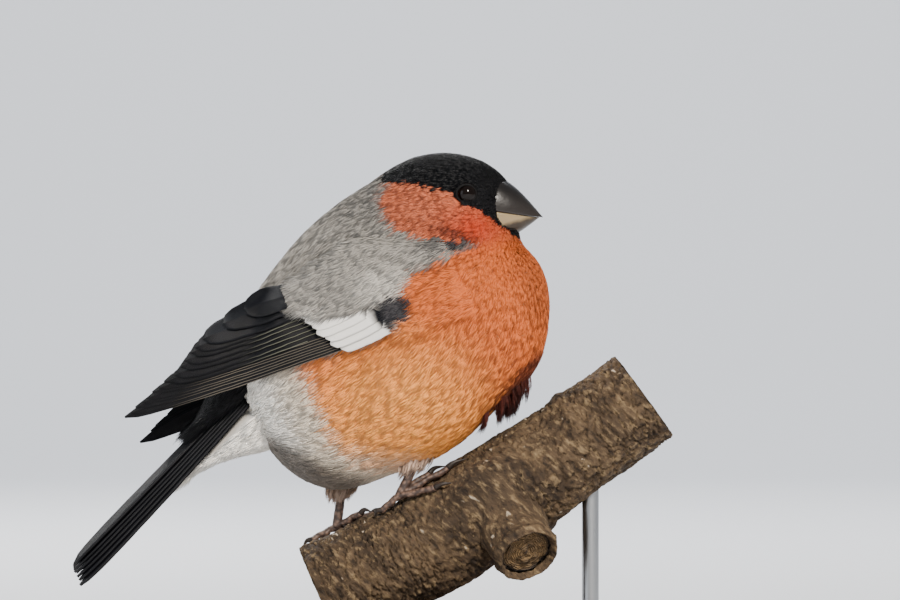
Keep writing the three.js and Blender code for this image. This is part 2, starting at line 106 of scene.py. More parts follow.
# Small tools for numbers
def smooth(value, low, high):
    share = np.clip((value - low) / (high - low), 0, 1)
    return share * share * (3 - 2 * share)


def blend(first, second, share):
    return first + (second - first) * share


def unit(vectors):
    return vectors / np.maximum(np.linalg.norm(vectors, axis=-1, keepdims=True), 1e-9)


def ridge(points, scale, seed=0.0, octaves=4):
    """Fractal relief between about -1 and 1 at points given in millimetres."""
    flat = points.reshape(-1, 3) / scale + seed
    values = [noise.fractal(Vector(p), 0.9, 2.1, octaves) for p in flat]
    return np.array(values).reshape(points.shape[:-1])


# The body's own surface
def body_distance(points):
    """About how far points lie outside the body, which is its forms blended into one."""
    total = None
    for x, z, length, depth, width, tilt in FORMS.values():
        turn = math.radians(tilt)
        dx, dz = points[..., 0] - x, points[..., 2] - z
        along = dx * math.cos(turn) + dz * math.sin(turn)
        up = dz * math.cos(turn) - dx * math.sin(turn)
        local = np.stack([along, points[..., 1], up], -1)
        radii = np.array([length, width, depth])
        near = np.linalg.norm(local / radii, axis=-1)
        slope = np.linalg.norm(local / radii**2, axis=-1)
        one = near * (near - 1) / np.maximum(slope, 1e-9)
        if total is None:
            total = one
            continue
        share = np.clip(0.5 + 0.5 * (one - total) / FORM_BLEND, 0, 1)
        total = blend(one, total, share) - FORM_BLEND * share * (1 - share)
    return total


def body_slope(points):
    """The direction in which the distance from the body grows."""
    step = 0.05
    rises = [body_distance(points + offset) - body_distance(points - offset) for offset in np.eye(3) * step]
    return np.stack(rises, -1) / (2 * step)


def on_body(points, height, rounds=4):
    """Moves points along the surface's normals until they lie at a height over it."""
    for _ in range(rounds):
        slope = body_slope(points)
        over = body_distance(points) - height
        points = points - over[..., None] * slope / np.maximum((slope**2).sum(-1, keepdims=True), 1e-6)
    return points


def reach_to_surface(place, shape, limit, height, rounds):
    """How far rays run to the surface at a height over the body. place gives their points at a distance."""
    near = np.zeros(shape)
    far = np.full(shape, limit)
    for _ in range(rounds):
        middle = (near + far) / 2
        inside = body_distance(place(middle)) < height
        near, far = np.where(inside, middle, near), np.where(inside, far, middle)
    return near


def body_reach(directions, height):
    """The surface at a height over the body, as seen from its middle."""

    def place(distance):
        return BODY_CENTRE + directions * distance[:, None]

    return place(reach_to_surface(place, len(directions), 90.0, height, 28))


def half_width(x, z):
    """Half the body's width at a place in the side view."""
    return reach_to_surface(lambda y: np.stack([x, y, z], -1), x.shape, 40.0, 0, 24)


def eye_rim(side):
    """The place on the body's side where an eye shows."""
    over = half_width(np.array([EYE["x"]]), np.array([EYE["z"]]))[0]
    return np.array([EYE["x"], side * over, EYE["z"]])


def body_unwrap(points):
    """Where a point lies on an unwrap of the skin, from 0 to 1 each way."""
    ray = unit(points - BODY_CENTRE)
    around = np.arctan2(ray[..., 1], ray[..., 0]) / (2 * math.pi) + 0.5
    upright = np.arccos(np.clip(ray[..., 2], -1, 1)) / math.pi
    return np.stack([around, upright], -1)


def wing_point(side, along, across, lift):
    """A place on the folded wing, in millimetres along it, up across it and out of it."""
    along, across, lift = np.broadcast_arrays(along, across, lift)
    droop = math.radians(WING_DROOP[side])
    x = WING_BEND[0] - along * math.cos(droop) - across * math.sin(droop)
    z = WING_BEND[1] - along * math.sin(droop) + across * math.cos(droop)
    share = np.clip(along / WING_LENGTH, 0, 1)
    up = np.clip((across - WING_LOW) / (WING_HIGH - WING_LOW), 0, 1)
    folded = blend(blend(*WING_OUT_LOW, share), blend(*WING_OUT_HIGH, share), up**1.5)
    resting = half_width(x.astype(float), z.astype(float)) + 0.6
    apart = np.maximum(WING_FOLD_SOFTNESS - np.abs(folded - resting), 0)
    y = np.maximum(folded, resting) + apart**2 / (4 * WING_FOLD_SOFTNESS) + lift
    return np.stack([x, side * y, z], -1)


def tail_frame():
    """The directions along the tail, across it and out of its upper face."""
    drop, twist = math.radians(TAIL_DROP), math.radians(-TAIL_TWIST)
    along = np.array([-math.cos(drop), 0, -math.sin(drop)])
    level = np.array([0.0, 1.0, 0.0])
    across = level * math.cos(twist) + np.cross(along, level) * math.sin(twist)
    up = np.cross(along, across)
    return along, across, up if up[2] > 0 else -up


TAIL_ALONG, TAIL_ACROSS, TAIL_UP = tail_frame()


def tail_point(along, across, up):
    along, across, up = np.broadcast_arrays(along, across, up)
    up = up - TAIL_ARCH * across**2
    level = TAIL_ROOT + along[..., None] * TAIL_ALONG + across[..., None] * TAIL_ACROSS
    return level + up[..., None] * TAIL_UP


# Small tools for objects and meshes
def add_object(name, data):
    added = bpy.data.objects.new(name, data)
    bpy.context.scene.collection.objects.link(added)
    return added


def paint_plumage(mesh, colours):
    layer = mesh.color_attributes.new(name="Plumage", type="FLOAT_COLOR", domain="POINT")
    full = np.concatenate([colours, np.ones((len(colours), 1))], 1)
    layer.data.foreach_set("color", full.astype(np.float32).ravel())


def mesh_piece(name, points, faces, material, slot, replaces=(), colours=None, maps=None):
    """A new object from arrays: points in millimetres, faces with as many corners each."""
    faces = np.asarray(faces, np.int32)
    mesh = bpy.data.meshes.new(name)
    mesh.vertices.add(len(points))
    mesh.vertices.foreach_set("co", (np.asarray(points, np.float64) * MM).astype(np.float32).ravel())
    mesh.loops.add(faces.size)
    mesh.loops.foreach_set("vertex_index", faces.ravel())
    mesh.polygons.add(len(faces))
    mesh.polygons.foreach_set("loop_start", np.arange(0, faces.size, faces.shape[1], dtype=np.int32))
    mesh.polygons.foreach_set("use_smooth", np.full(len(faces), True))
    mesh.update(calc_edges=True)
    for label, values in (maps or {}).items():
        layer = mesh.uv_layers.new(name=label)
        layer.data.foreach_set("uv", values[faces.ravel()].astype(np.float32).ravel())
    if colours is not None:
        paint_plumage(mesh, colours)
    return finished(add_object(name, mesh), material, replaces)


def finished(piece, material, replaces=()):
    """Gives a piece its material, hangs it on the body and hides the parts that it replaces."""
    piece.data.materials.clear()
    piece.data.materials.append(material)
    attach(piece, BODY)
    if replaces:
        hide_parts(*replaces)
    return piece


def take_primitive(name):
    """The primitive that an operator has just added, with its place in its mesh."""
    piece = bpy.context.object
    piece.name = piece.data.name = name
    bpy.ops.object.transform_apply(location=True, rotation=True, scale=True)
    return piece


def clear_selection():
    if bpy.context.object and bpy.context.object.mode != "OBJECT":
        bpy.ops.object.mode_set(mode="OBJECT")
    bpy.ops.object.select_all(action="DESELECT")


def round_edges(piece, width, segments):
    """Bevels the sharp edges of the active piece by a width in metres and shades it smooth between them."""
    rounding = piece.modifiers.new("Rounding", "BEVEL")
    rounding.width, rounding.segments, rounding.limit_method = width, segments, "ANGLE"
    bpy.ops.object.modifier_apply(modifier=rounding.name)
    bpy.ops.object.shade_smooth_by_angle(angle=SMOOTH_ANGLE)


def read_vectors(vectors, label):
    values = np.empty(len(vectors) * 3, np.float32)
    vectors.foreach_get(label, values)
    return values.reshape(-1, 3).astype(float)


def positions(piece):
    return read_vectors(piece.data.vertices, "co") / MM


def set_positions(piece, points):
    piece.data.vertices.foreach_set("co", (points * MM).astype(np.float32).ravel())
    piece.data.update()


def shell(along, across, place):
    """A closed sheet: place gets shares along and across and 1 or 0 for its outer or inner face."""
    u, v = np.meshgrid(along, across, indexing="ij")
    outer = place(u, v, np.ones_like(u)).reshape(-1, 3)
    inner = place(u, v, np.zeros_like(u)).reshape(-1, 3)
    rows, columns = u.shape
    grid = np.arange(rows * columns).reshape(rows, columns)
    top = np.stack([grid[:-1, :-1], grid[1:, :-1], grid[1:, 1:], grid[:-1, 1:]], -1).reshape(-1, 4)
    bottom = top[:, ::-1] + rows * columns
    rim = np.concatenate([grid[0, :-1], grid[:-1, -1], grid[-1, :0:-1], grid[:0:-1, 0]])
    following = np.roll(rim, -1)
    edge = np.stack([rim, following, following + rows * columns, rim + rows * columns], -1)
    faces = np.concatenate([top, bottom, edge])
    uv = np.stack([u, v * 0.5 + 0.5], -1).reshape(-1, 2)
    return np.concatenate([outer, inner]), faces, np.concatenate([uv, uv])


def ring_walls(rows, columns):
    """The faces between neighbouring rows of points, each row a closed ring."""
    grid = np.arange(rows * columns).reshape(rows, columns)
    following = np.roll(grid, -1, 1)
    return np.stack([grid[:-1], grid[1:], following[1:], following[:-1]], -1).reshape(-1, 4)


def tube(points, radii, sides, flat=1.0, up=(0, 0, 1)):
    """A closed limb along points, with its own radius at each."""
    points, radii = np.asarray(points, float), np.asarray(radii, float)
    run = unit(np.gradient(points, axis=0))
    side = unit(np.cross(run, np.asarray(up, float)))
    top = np.cross(side, run)
    turn = np.linspace(0, 2 * math.pi, sides, endpoint=False)
    ring = side[:, None] * np.cos(turn)[None, :, None] + top[:, None] * np.sin(turn)[None, :, None] * flat
    rings = points[:, None] + ring * radii[:, None, None]
    count = len(points)
    walls = ring_walls(count, sides)
    ends = [np.full(sides, count * sides + end) for end in (0, 1)]
    start = np.arange(sides)
    following, finish = np.roll(start, -1), start + (count - 1) * sides
    first = np.stack([ends[0], following, start], -1)
    last = np.stack([ends[1], finish, np.roll(finish, -1)], -1)
    faces = np.concatenate([walls[:, [0, 3, 2]], walls[:, [0, 2, 1]], first, last])
    return np.concatenate([rings.reshape(-1, 3), points[:1], points[-1:]]), faces


def merged(parts):
    """Joins lists of (points, faces, ...) arrays into one set."""
    columns = list(zip(*parts))
    starts = np.cumsum([0] + [len(points) for points in columns[0]][:-1])
    faces = np.concatenate([faces + start for faces, start in zip(columns[1], starts)])
    rest = [np.concatenate(column) for column in columns[2:]]
    return [np.concatenate(columns[0]), faces, *rest]


# Markings of the plumage, and the edge of the painted shadow under the breast, as curves through a few points
# in the bird's side view
CAP_EDGE = ((-9.2, 127.0), (-3.4, 126.0), (1.6, 125.2), (5.2, 124.2), (6.9, 122.6), (9.6, 121.2),
            (13.9, 119.9), (15.9, 118.1), (18.2, 116.2), (21.5, 114.0), (25.0, 111.8))
MANTLE_EDGE = ((60.0, -50.0), (75.9, -42.0), (78.5, -32.5), (81.4, -20.8), (85.3, -10.4), (91.5, -4.4),
               (96.2, -5.7), (98.8, -5.2), (101.7, -2.7), (105.3, -0.4), (107.9, 6.3), (110.0, 12.2),
               (111.4, 13.2), (112.3, 5.0), (112.6, -1.0), (114.6, -6.3), (117.9, -9.0), (122.2, -10.0),
               (126.5, -7.7))
BELLY_EDGE = ((-36.0, 87.0), (-31.0, 80.0), (-27.4, 73.0), (-23.3, 64.0), (-19.5, 58.5),
              (-13.0, 56.0), (-6.5, 55.1), (3.9, 53.6), (15.0, 50.0))
BREAST_SHADOW_EDGE = ((5.0, 51.0), (9.1, 59.5), (16.9, 70.6), (24.7, 80.5), (28.0, 85.0), (31.0, 86.0))


def curve_through(edge, at):
    return np.interp(at, *zip(*edge))


def spot(x, z, centre, spread):
    """1 at a centre in the side view and falling to 0 round it."""
    return np.exp(-(((x - centre[0]) / spread[0]) ** 2) - ((z - centre[1]) / spread[1]) ** 2)


def plumage_colour(points, rng, paints):
    """The colour of the small feathers at points on the body, with painted light and shade on the breast,
    belly and back, and how much each lies in the black cap.
    """
    jitter = np.clip(rng.normal(0, 0.5, points.shape), -1.1, 1.1)
    x, z = (points + jitter)[..., 0], (points + jitter)[..., 2]
    wide = rng.normal(0, 1.0, x.shape)
    colour = np.broadcast_to(paints["breast"], points.shape).copy()

    def mix(paint, share):
        return colour + (np.asarray(paint) - colour) * np.clip(share, 0, 1)[..., None]

    colour = mix(paints["cheek_light"], smooth(z, 110, 114) * smooth(x, 30, 16))
    # Painted shade along the front of the breast.
    colour = mix(paints["painted_shadow"], 0.35 * smooth(x + 0.25 * (z - 90), 23, 31) * smooth(z, 84, 96))
    colour = mix(paints["cheek"], 0.95 * spot(x, z, (13, 115), (7, 5.5)))
    # Painted light: a brighter pool of colour on the lower breast.
    colour = mix(paints["painted_breast_light"], smooth(np.hypot(x + 6, (z - 66) * 1.15), 36, 8) * 0.95)
    # Painted shadow on the underside below the breast's fold. The pale belly is kept out of it.
    folded = smooth(curve_through(BREAST_SHADOW_EDGE, x) - z + wide * 0.5, -1.0, 2.5) * smooth(x, 5, 8)
    colour = mix(paints["painted_shadow"], 0.85 * folded)
    pale = smooth(curve_through(BELLY_EDGE, x) + 1.0 - z + wide, -5.5, 5.5) * (1 - folded)
    colour = mix(paints["belly"], pale)
    vent = smooth(-x - 0.4 * (z - 60) + wide, 26, 36)
    colour = mix(paints["vent"], pale * vent)
    # Painted shade on the underside of the belly towards the tail.
    under = smooth(61.5 - 0.4 * (x + 38) - z + wide * 0.5, -3.0, 3.5) * smooth(x, -42, -38)
    colour = mix(paints["painted_belly_shade"], 0.9 * pale * under)
    behind = smooth(curve_through(MANTLE_EDGE, z) - x + wide * 0.5, -1.2, 1.6)
    behind = behind * smooth(z - 88.5 - 0.36 * (x + 6), -0.5, 2.0)
    colour = mix(paints["mantle"], behind)
    light = behind * smooth(np.hypot((x + 9) / 9, (z - 100) / 7), 1.2, 0.2)
    colour = mix(paints["mantle_light"], 0.7 * light)
    # Painted shade: the back grows darker towards its top.
    colour = mix(paints["dark_mantle_and_shade"], 0.4 * behind * smooth(z, 110, 124))
    colour = mix(paints["dark_mantle_and_shade"], 1.1 * behind * spot(x, z, (8, 110.9), (8, 2.0)))
    # Painted shadow in the crease between the cheek and the shoulder.
    colour = mix(paints["painted_shadow"], 0.8 * spot(x, z + 0.3 * (x - 8), (8, 113.7), (6.5, 1.1)))
    rump = smooth(-x, 39, 43) * smooth(z, 97, 90)
    colour = mix(paints["vent"], rump)
    ahead, high = (points + 0.4 * jitter)[..., 0], (points + 0.4 * jitter)[..., 2]
    cap = (high > curve_through(CAP_EDGE, ahead)) & (ahead > -9.4 - 0.25 * (127 - high))
    cap_share = cap.astype(float)
    return mix(paints["cap"], cap_share), cap_share


TAIL_AIM = np.array([-50.0, 0, 66.0])
FEATHER_FALL = np.array([0, 0, -0.004])


def lie_direction(points, face_normals):
    """The way the feathers lie: from the bill's root round the body towards the tail's root."""
    away, towards = points - BILL_ROOT, TAIL_AIM - points
    flow = away / (away**2).sum(-1, keepdims=True) + towards / (towards**2).sum(-1, keepdims=True)
    flow = flow + FEATHER_FALL
    return unit(flow - (flow * face_normals).sum(-1, keepdims=True) * face_normals)


# Small feathers as fans of barbs. A barb has a root and a middle ring of three points each, and a tip.
# Its longest run as a share of the feather, how deep its root is sunk, and its patch of the bake's unwrap.
BARB_THICKNESS, BARB_RUN, ROOT_SUNK, BAKE_PATCH = 0.16, 0.82, 0.4, 0.003
BARB_FACES = np.array([[0, 2, 1], [0, 1, 4], [0, 4, 3], [1, 2, 5], [1, 5, 4], [2, 0, 3], [2, 3, 5],
                       [3, 4, 6], [4, 5, 6], [5, 3, 6]])
BARB_SHADE = np.array([0.92, 0.92, 0.92, 1.0, 1.0, 1.0, 1.05])
BARB_UNWRAP = np.array([0, 0, 0, 0.5, 0.5, 0.5, 1.0])


def feather_fans(name, at, upward, unwrap, colours, length, width, height, rng, material, slot, barbs=9):
    """Small feathers, each a fan of tapered barbs out of one sunk root.

    at gives a place from a run along the feather, a step to its side and a height over the surface.
    length, width and height are given for each feather.
    """
    count = len(colours)
    long, wide, high = length[:, None, None], width[:, None, None], height[:, None, None]
    fan = np.linspace(-1, 1, barbs)[None, :, None] + rng.normal(0, 0.09, (count, barbs, 1))
    out = np.array([0.0, 0.5, 1.0])[None, None, :]
    ends = (1 - 0.34 * fan**2) * (1 + rng.normal(0, 0.06, (count, barbs, 1)))
    starts = np.maximum(ends - BARB_RUN, 0.0)
    share = starts + (ends - starts) * out
    curl = rng.normal(0, 0.1, (count, barbs, 1)) * wide * out**2
    step = fan * wide * blend(0.2, 1.0, out**0.8) + curl
    loft = (high + ROOT_SUNK) * np.minimum(share * 1.7, 1.0) ** 0.8 - ROOT_SUNK
    loft = loft + rng.normal(0, 0.025, (count, barbs, 1)) * wide * out
    spine = at(share * long, step, loft)
    normal = np.broadcast_to(upward[:, None, None, :], spine.shape)
    flank = unit(np.cross(unit(np.gradient(spine, axis=2)), normal))
    thick = BARB_THICKNESS * (width / 2.0) ** 0.4
    half = thick[:, None, None, None] * np.array([0.8, 1.0, 0.0])[:, None]
    rings = np.stack([spine - flank * half, spine + flank * half, spine + normal * half * 0.55], 3)[:, :, :2]
    points = np.concatenate([rings.reshape(count, barbs, 6, 3), spine[:, :, 2:3]], 2)
    corners = points.shape[2]
    faces = BARB_FACES + np.arange(count * barbs)[:, None, None] * corners
    tint = 1 + rng.normal(0, 0.02, (count, 1, 1, 1)) + rng.normal(0, 0.05, (count, barbs, 1, 1))
    paint = np.clip(colours[:, None, None, :] * BARB_SHADE[:, None] * tint, 0, 1)
    patch = np.stack(np.broadcast_arrays(BARB_UNWRAP, fan * 0.5 + 0.5), -1) - 0.5
    bake = unwrap[:, None, None, :] + patch * BAKE_PATCH
    mesh_piece(
        name, points.reshape(-1, 3), faces.reshape(-1, 3), material, slot,
        colours=paint.reshape(-1, 3), maps={"OFBake": bake.reshape(-1, 2)},
    )


def from_bill(points):
    return np.linalg.norm((points - BILL_ROOT) * [1, 0.9, 1], axis=-1)


FACE_NARROWING = ((12, 1), (14, 0.96), (16, 0.8), (18, 0.62), (20, 0.54), (22, 0.56), (24, 0.7))


def tapered(points):
    """Narrows the face towards the bill, so that the bill stands clear of it."""
    narrow = curve_through(FACE_NARROWING, points[..., 0])
    inside = smooth(points[..., 2], 108, 114) * smooth(points[..., 2], 131, 127)
    share = 1 - (1 - narrow) * inside
    return points * np.stack([np.ones_like(share), share, np.ones_like(share)], -1)


def coat_depth(points):
    """How far the skin lies inside the coat: least on the face, where the feathers are smallest."""
    return np.interp(from_bill(points), (4, 12, 30), (0.45, 0.8, COAT_DEPTH))


# Materials
class Socket:
    """A node's output. Plain sums on it add Math nodes, and node adds any other node."""

    def __init__(self, tree, output):
        self.tree = tree
        self.output = output

    def node(self, kind, settings=None, inputs=None, output=0):
        made = self.tree.nodes.new(kind)
        for name, value in (settings or {}).items():
            setattr(made, name, value)
        for name, value in (inputs or {}).items():
            if isinstance(value, Socket):
                self.tree.links.new(value.output, made.inputs[name])
            else:
                made.inputs[name].default_value = value
        return Socket(self.tree, made.outputs[output])

    def math(self, operation, *values):
        """A Math node on these values, or on this one alone."""
        return self.node("ShaderNodeMath", {"operation": operation}, dict(enumerate(values or (self,))))

    def __add__(self, other):
        return self.math("ADD", self, other)

    def __sub__(self, other):
        return self.math("SUBTRACT", self, other)

    def __rsub__(self, other):
        return self.math("SUBTRACT", other, self)

    def __mul__(self, other):
        return self.math("MULTIPLY", self, other)

    __radd__ = __add__
    __rmul__ = __mul__

    def part(self, axis):
        """A vector's X, Y or Z for an axis of 0, 1 or 2."""
        return self.node("ShaderNodeSeparateXYZ", None, {"Vector": self}, axis)

    def stretched(self, *scale):
        return self.node("ShaderNodeMapping", None, {"Vector": self, "Scale": scale})

    def between(self, low, high):
        """0 below low, 1 above high, and smooth in between."""
        limits = {"Value": self, "From Min": low, "From Max": high}
        return self.node("ShaderNodeMapRange", {"interpolation_type": "SMOOTHSTEP"}, limits)

    def mix(self, first, second):
        """first where this is 0 and second where it is 1."""
        return self.node("ShaderNodeMix", {"data_type": "RGBA"}, {0: self, 6: first, 7: second}, 2)

    def noise(self, scale, detail=3.0, roughness=0.55):
        """Noise at this place."""
        inputs = {"Vector": self, "Scale": scale, "Detail": detail, "Roughness": roughness}
        return self.node("ShaderNodeTexNoise", None, inputs)

    def bumped(self, distance, strength=1.0):
        """The normal of a surface with this height on it."""
        inputs = {"Height": self, "Distance": distance, "Strength": strength}
        return self.node("ShaderNodeBump", None, inputs)


def new_material(name, values):
    """A material with plain values on its shader, and a socket to start sums from."""
    material = bpy.data.materials.new(name)
    material.use_nodes = True
    tree = material.node_tree
    shader = tree.nodes["Principled BSDF"]
    for socket, value in values.items():
        shader.inputs[socket].default_value = value
    where = Socket(tree, None).node("ShaderNodeTexCoord", output=3)
    return material, shader, where


def drive(shader, **sockets):
    """Links shader sockets, named with _ for a space, to what changes over the surface."""
    for name, value in sockets.items():
        value.tree.links.new(value.output, shader.inputs[name.replace("_", " ")])


def linear(colour):
    """A colour as a screen shows it, from 0 to 255, as the light that it stands for."""
    value = np.asarray(colour, float) / 255
    return np.where(value <= 0.04045, value / 12.92, ((value + 0.055) / 1.055) ** 2.4)


def opaque(colour):
    return (*colour, 1.0)


def rgba(colour):
    return opaque(linear(colour))


def plumage_material(name, roughness, sheen):
    finish = {"Roughness": roughness, "Specular IOR Level": 0.25, "Sheen Weight": sheen}
    material, shader, where = new_material(name, {**finish, "Sheen Roughness": 0.5})
    paint = where.node("ShaderNodeVertexColor", {"layer_name": "Plumage"})
    brighter = paint.node("ShaderNodeHueSaturation", None, {"Color": paint, "Value": 1.06})
    drive(shader, Base_Color=where.noise(2600.0).between(0.25, 0.75).mix(paint, brighter))
    return material


def soft_plumage(name):
    return plumage_material(name, 0.85, 0.06)


# Barbs to a feather's length and width, and the turn in radians of the ripple over each.
BARBS_ALONG, BARBS_ACROSS, BARB_WAVES = 46.0, 9.0, 18.849


def vane_material(name, web, edge, roughness=0.38, edge_from=0.86, edge_to=1.0, bar=None):
    """A flight feather: fine barbs slanting off the shaft and a pale outer edge, and a bar over its end."""
    material, shader, where = new_material(name, {"Specular IOR Level": 0.22, "Roughness": roughness + 0.1})
    uv = where.node("ShaderNodeUVMap", {"uv_map": "Vane"})
    along, across = uv.part(0), uv.part(1)
    from_shaft = (across - 0.5).math("ABSOLUTE")
    barbs = ((along * BARBS_ALONG - from_shaft * BARBS_ACROSS) * BARB_WAVES).math("SINE")
    patchy = where.noise(260.0)
    dark = patchy.between(0.3, 0.7).mix(rgba(web), rgba([c * 1.5 for c in web]))
    rim = (1.0 - across).between(edge_from, 0.985)
    colour = (rim * along.between(edge_to, edge_to - 0.3)).mix(dark, rgba(edge))
    if bar:
        colour = (along + (patchy - 0.5) * 0.12).between(0.2, 0.34).mix(colour, bar)
    drive(shader, Base_Color=colour, Normal=(barbs * 0.5 + patchy * 0.3).bumped(0.00005))
    return material


# Pieces
def tidy_shell(piece):
    """Merges doubled points and turns faces outwards."""
    clear_selection()
    bpy.context.view_layer.objects.active = piece
    piece.select_set(True)
    bpy.ops.object.mode_set(mode="EDIT")
    bpy.ops.mesh.select_all(action="SELECT")
    bpy.ops.mesh.remove_doubles(threshold=1e-6)
    bpy.ops.mesh.normals_make_consistent(inside=False)
    bpy.ops.object.mode_set(mode="OBJECT")
    piece.select_set(False)


PAINTS = ("cap", "cheek", "cheek_light", "breast", "painted_breast_light", "belly", "painted_belly_shade", "vent",
          "mantle", "mantle_light", "dark_mantle_and_shade", "painted_shadow", "patch")


def paints_from(plumage):
    return {name: np.array(getattr(plumage, name)[:]) for name in PAINTS}


def build_skin(plumage):
    clear_selection()
    bpy.ops.mesh.primitive_ico_sphere_add(subdivisions=7, radius=1.0)
    skin = take_primitive("skin")
    outline = body_reach(unit(positions(skin)), 0.0)
    set_positions(skin, tapered(on_body(outline, -coat_depth(outline))))
    colours, _ = plumage_colour(positions(skin), np.random.default_rng(11), paints_from(plumage))
    paint_plumage(skin.data, colours * 0.9)
    skin.data.shade_smooth()
    finished(skin, plumage_material("Underplumage", 0.9, 0.1), ("head", "neck", "torso"))


def eye_centre(side):
    sunk = math.sqrt(EYE["radius"] ** 2 - EYE["seen"] ** 2) + 0.3
    return eye_rim(side) - [0, side * sunk, 0]


def in_bill(points):
    share = np.clip((points[..., 0] - BILL_GAPE[0]) / (BILL_TIP[0] - BILL_GAPE[0]), 0, 1)
    top = blend(BILL_CULMEN[2], BILL_TIP[2], share) + 1.2
    bottom = blend(BILL_CHIN[2], BILL_TIP[2], share) - 0.9
    middle, half = (top + bottom) / 2, (top - bottom) / 2
    wide = BILL_HALF_WIDTH * (1 - share**1.7) ** 0.75
    ring = ((points[..., 2] - middle) / half) ** 2 + (points[..., 1] / np.maximum(wide, 0.1)) ** 2
    return (ring < 0.92) & (points[..., 0] > 17)


def on_wing(points, side):
    """A point's place along and across the wing of one side."""
    droop = math.radians(WING_DROOP[side])
    dx, dz = points[..., 0] - WING_BEND[0], points[..., 2] - WING_BEND[1]
    return -dx * math.cos(droop) - dz * math.sin(droop), -dx * math.sin(droop) + dz * math.cos(droop)


def under_wing(points):
    covered = np.zeros(points.shape[:-1], bool)
    for side in SIDES.values():
        along, across = on_wing(points, side)
        inside = (along > 10) & (along < 60) & (across > -1) & (across < 11) & (points[..., 1] * side > 0)
        covered |= inside
    return covered


COAT_RAYS = 120000
STRANDS_TO_A_PIECE = 19000
# Distances from the bill, and the small feathers' number to a square millimetre, length and width there.
COAT_DENSITY = ((0, 6.5), (8, 5.2), (14, 2.5), (20, 1.4), (32, 0.74), (50, 0.61))
FEATHER_LENGTH = ((0, 1.5), (6, 2.0), (14, 3.6), (24, 6.0), (45, 9.0), (80, 10.5))
FEATHER_WIDTH = ((0, 0.24), (6, 0.34), (14, 0.7), (24, 1.3), (45, 2.0), (80, 2.2))


def beside_eye(points):
    return np.hypot(points[:, 0] - EYE["x"], points[:, 2] - EYE["z"])


def even_roots(density):
    """Roots spread evenly over the body, with its normals there, clear of the eyes, bill and wings."""
    index = np.arange(COAT_RAYS) + 0.5
    upright, around = np.arccos(1 - 2 * index / COAT_RAYS), math.pi * (1 + 5**0.5) * index
    ray = np.stack([np.cos(around) * np.sin(upright), np.sin(around) * np.sin(upright), np.cos(upright)], -1)
    roots = body_reach(ray, 0.0)
    reach = np.linalg.norm(roots - BODY_CENTRE, axis=1)
    normal = unit(body_slope(roots))
    area = 4 * math.pi * reach**2 / (COAT_RAYS * np.maximum((normal * ray).sum(-1), 0.25))
    wanted = curve_through(COAT_DENSITY, from_bill(roots)) * density
    keep = (index * EVEN_STEP) % 1.0 < area * wanted
    keep &= (beside_eye(roots) >= EYE["seen"] + 0.35) | (np.abs(roots[:, 1]) <= EYE_SIDE)
    keep &= ~in_bill(tapered(roots)) & ~under_wing(roots)
    return roots[keep], normal[keep]


def feather_place(roots, lie, flank, deep, run, step, loft):
    """A place on small feathers that lie close to the body."""
    places = roots[:, None, None] + lie[:, None, None] * run[..., None]
    places = places + flank[:, None, None] * step[..., None]
    return tapered(on_body(places, loft - deep[:, None, None], 3))


def build_coat(plumage):
    rng = np.random.default_rng(23)
    roots, normal = even_roots(plumage.density)
    away, depth = from_bill(roots), coat_depth(roots)
    roots = on_body(roots + rng.normal(0, 0.1, roots.shape), -depth)
    lie = lie_direction(roots, normal)
    flank = np.cross(normal, lie)
    turn = rng.normal(0, 0.11, len(roots))[:, None]
    lie, flank = lie * np.cos(turn) + flank * np.sin(turn), flank * np.cos(turn) - lie * np.sin(turn)
    length = curve_through(FEATHER_LENGTH, away) * plumage.feather_length
    width = curve_through(FEATHER_WIDTH, away) * plumage.feather_width
    length = length * rng.uniform(0.85, 1.15, len(roots))
    # Feathers in front of the eye stop short of it.
    for share in (0.5, 0.8, 1.0):
        over = beside_eye(roots + lie * (length * share)[:, None]) < EYE["seen"] - 0.05
        length = np.where(over & (np.abs(roots[:, 1]) > EYE_SIDE), length * 0.6, length)
    height = depth * rng.normal(1.0, 0.04, len(roots))
    colours, cap = plumage_colour(roots + lie * (length * 0.45)[:, None], rng, paints_from(plumage))
    mantle = (roots[:, 0] < curve_through(MANTLE_EDGE, roots[:, 2])) & (roots[:, 2] > 75)
    belly = roots[:, 2] < curve_through(BELLY_EDGE, roots[:, 0]) + 2
    kind = np.select([away < 12, cap > 0.5, mantle, belly], ["face", "cap", "mantle", "belly"], "breast")
    soft, gloss = soft_plumage("Soft plumage"), plumage_material("Glossy plumage", 0.42, 0.0)
    for region, slot, material, barbs in (
        ("face", "cap_feathers", gloss, 5),
        ("cap", "cap_feathers", gloss, 9),
        ("mantle", "breast_feathers", soft, 9),
        ("belly", "white_feathers", soft, 9),
        ("breast", "breast_feathers", soft, 9),
    ):
        for name, side in SIDES.items():
            chosen = np.flatnonzero((kind == region) & (np.sign(roots[:, 1]) == side))
            chosen = chosen[np.argsort(roots[chosen, 0])]
            pieces = 1 + len(chosen) * barbs // STRANDS_TO_A_PIECE
            for number, part in enumerate(np.array_split(chosen, pieces)):
                at = partial(feather_place, roots[part], lie[part], flank[part], depth[part])
                feather_fans(
                    f"coat_{region}_{name}_{number + 1}", at, normal[part], body_unwrap(roots[part]),
                    colours[part], length[part], width[part], height[part], rng, material, slot, barbs,
                )
    build_fringes(plumage, soft, rng)


def leg_ends(side):
    """The ankle on the perch and the top of the leg's bare part."""
    x, z = TARSUS_TOP[side]
    return perch_point(*FEET[side], ANKLE_HEIGHT), np.array([x, side * 6.5, z])


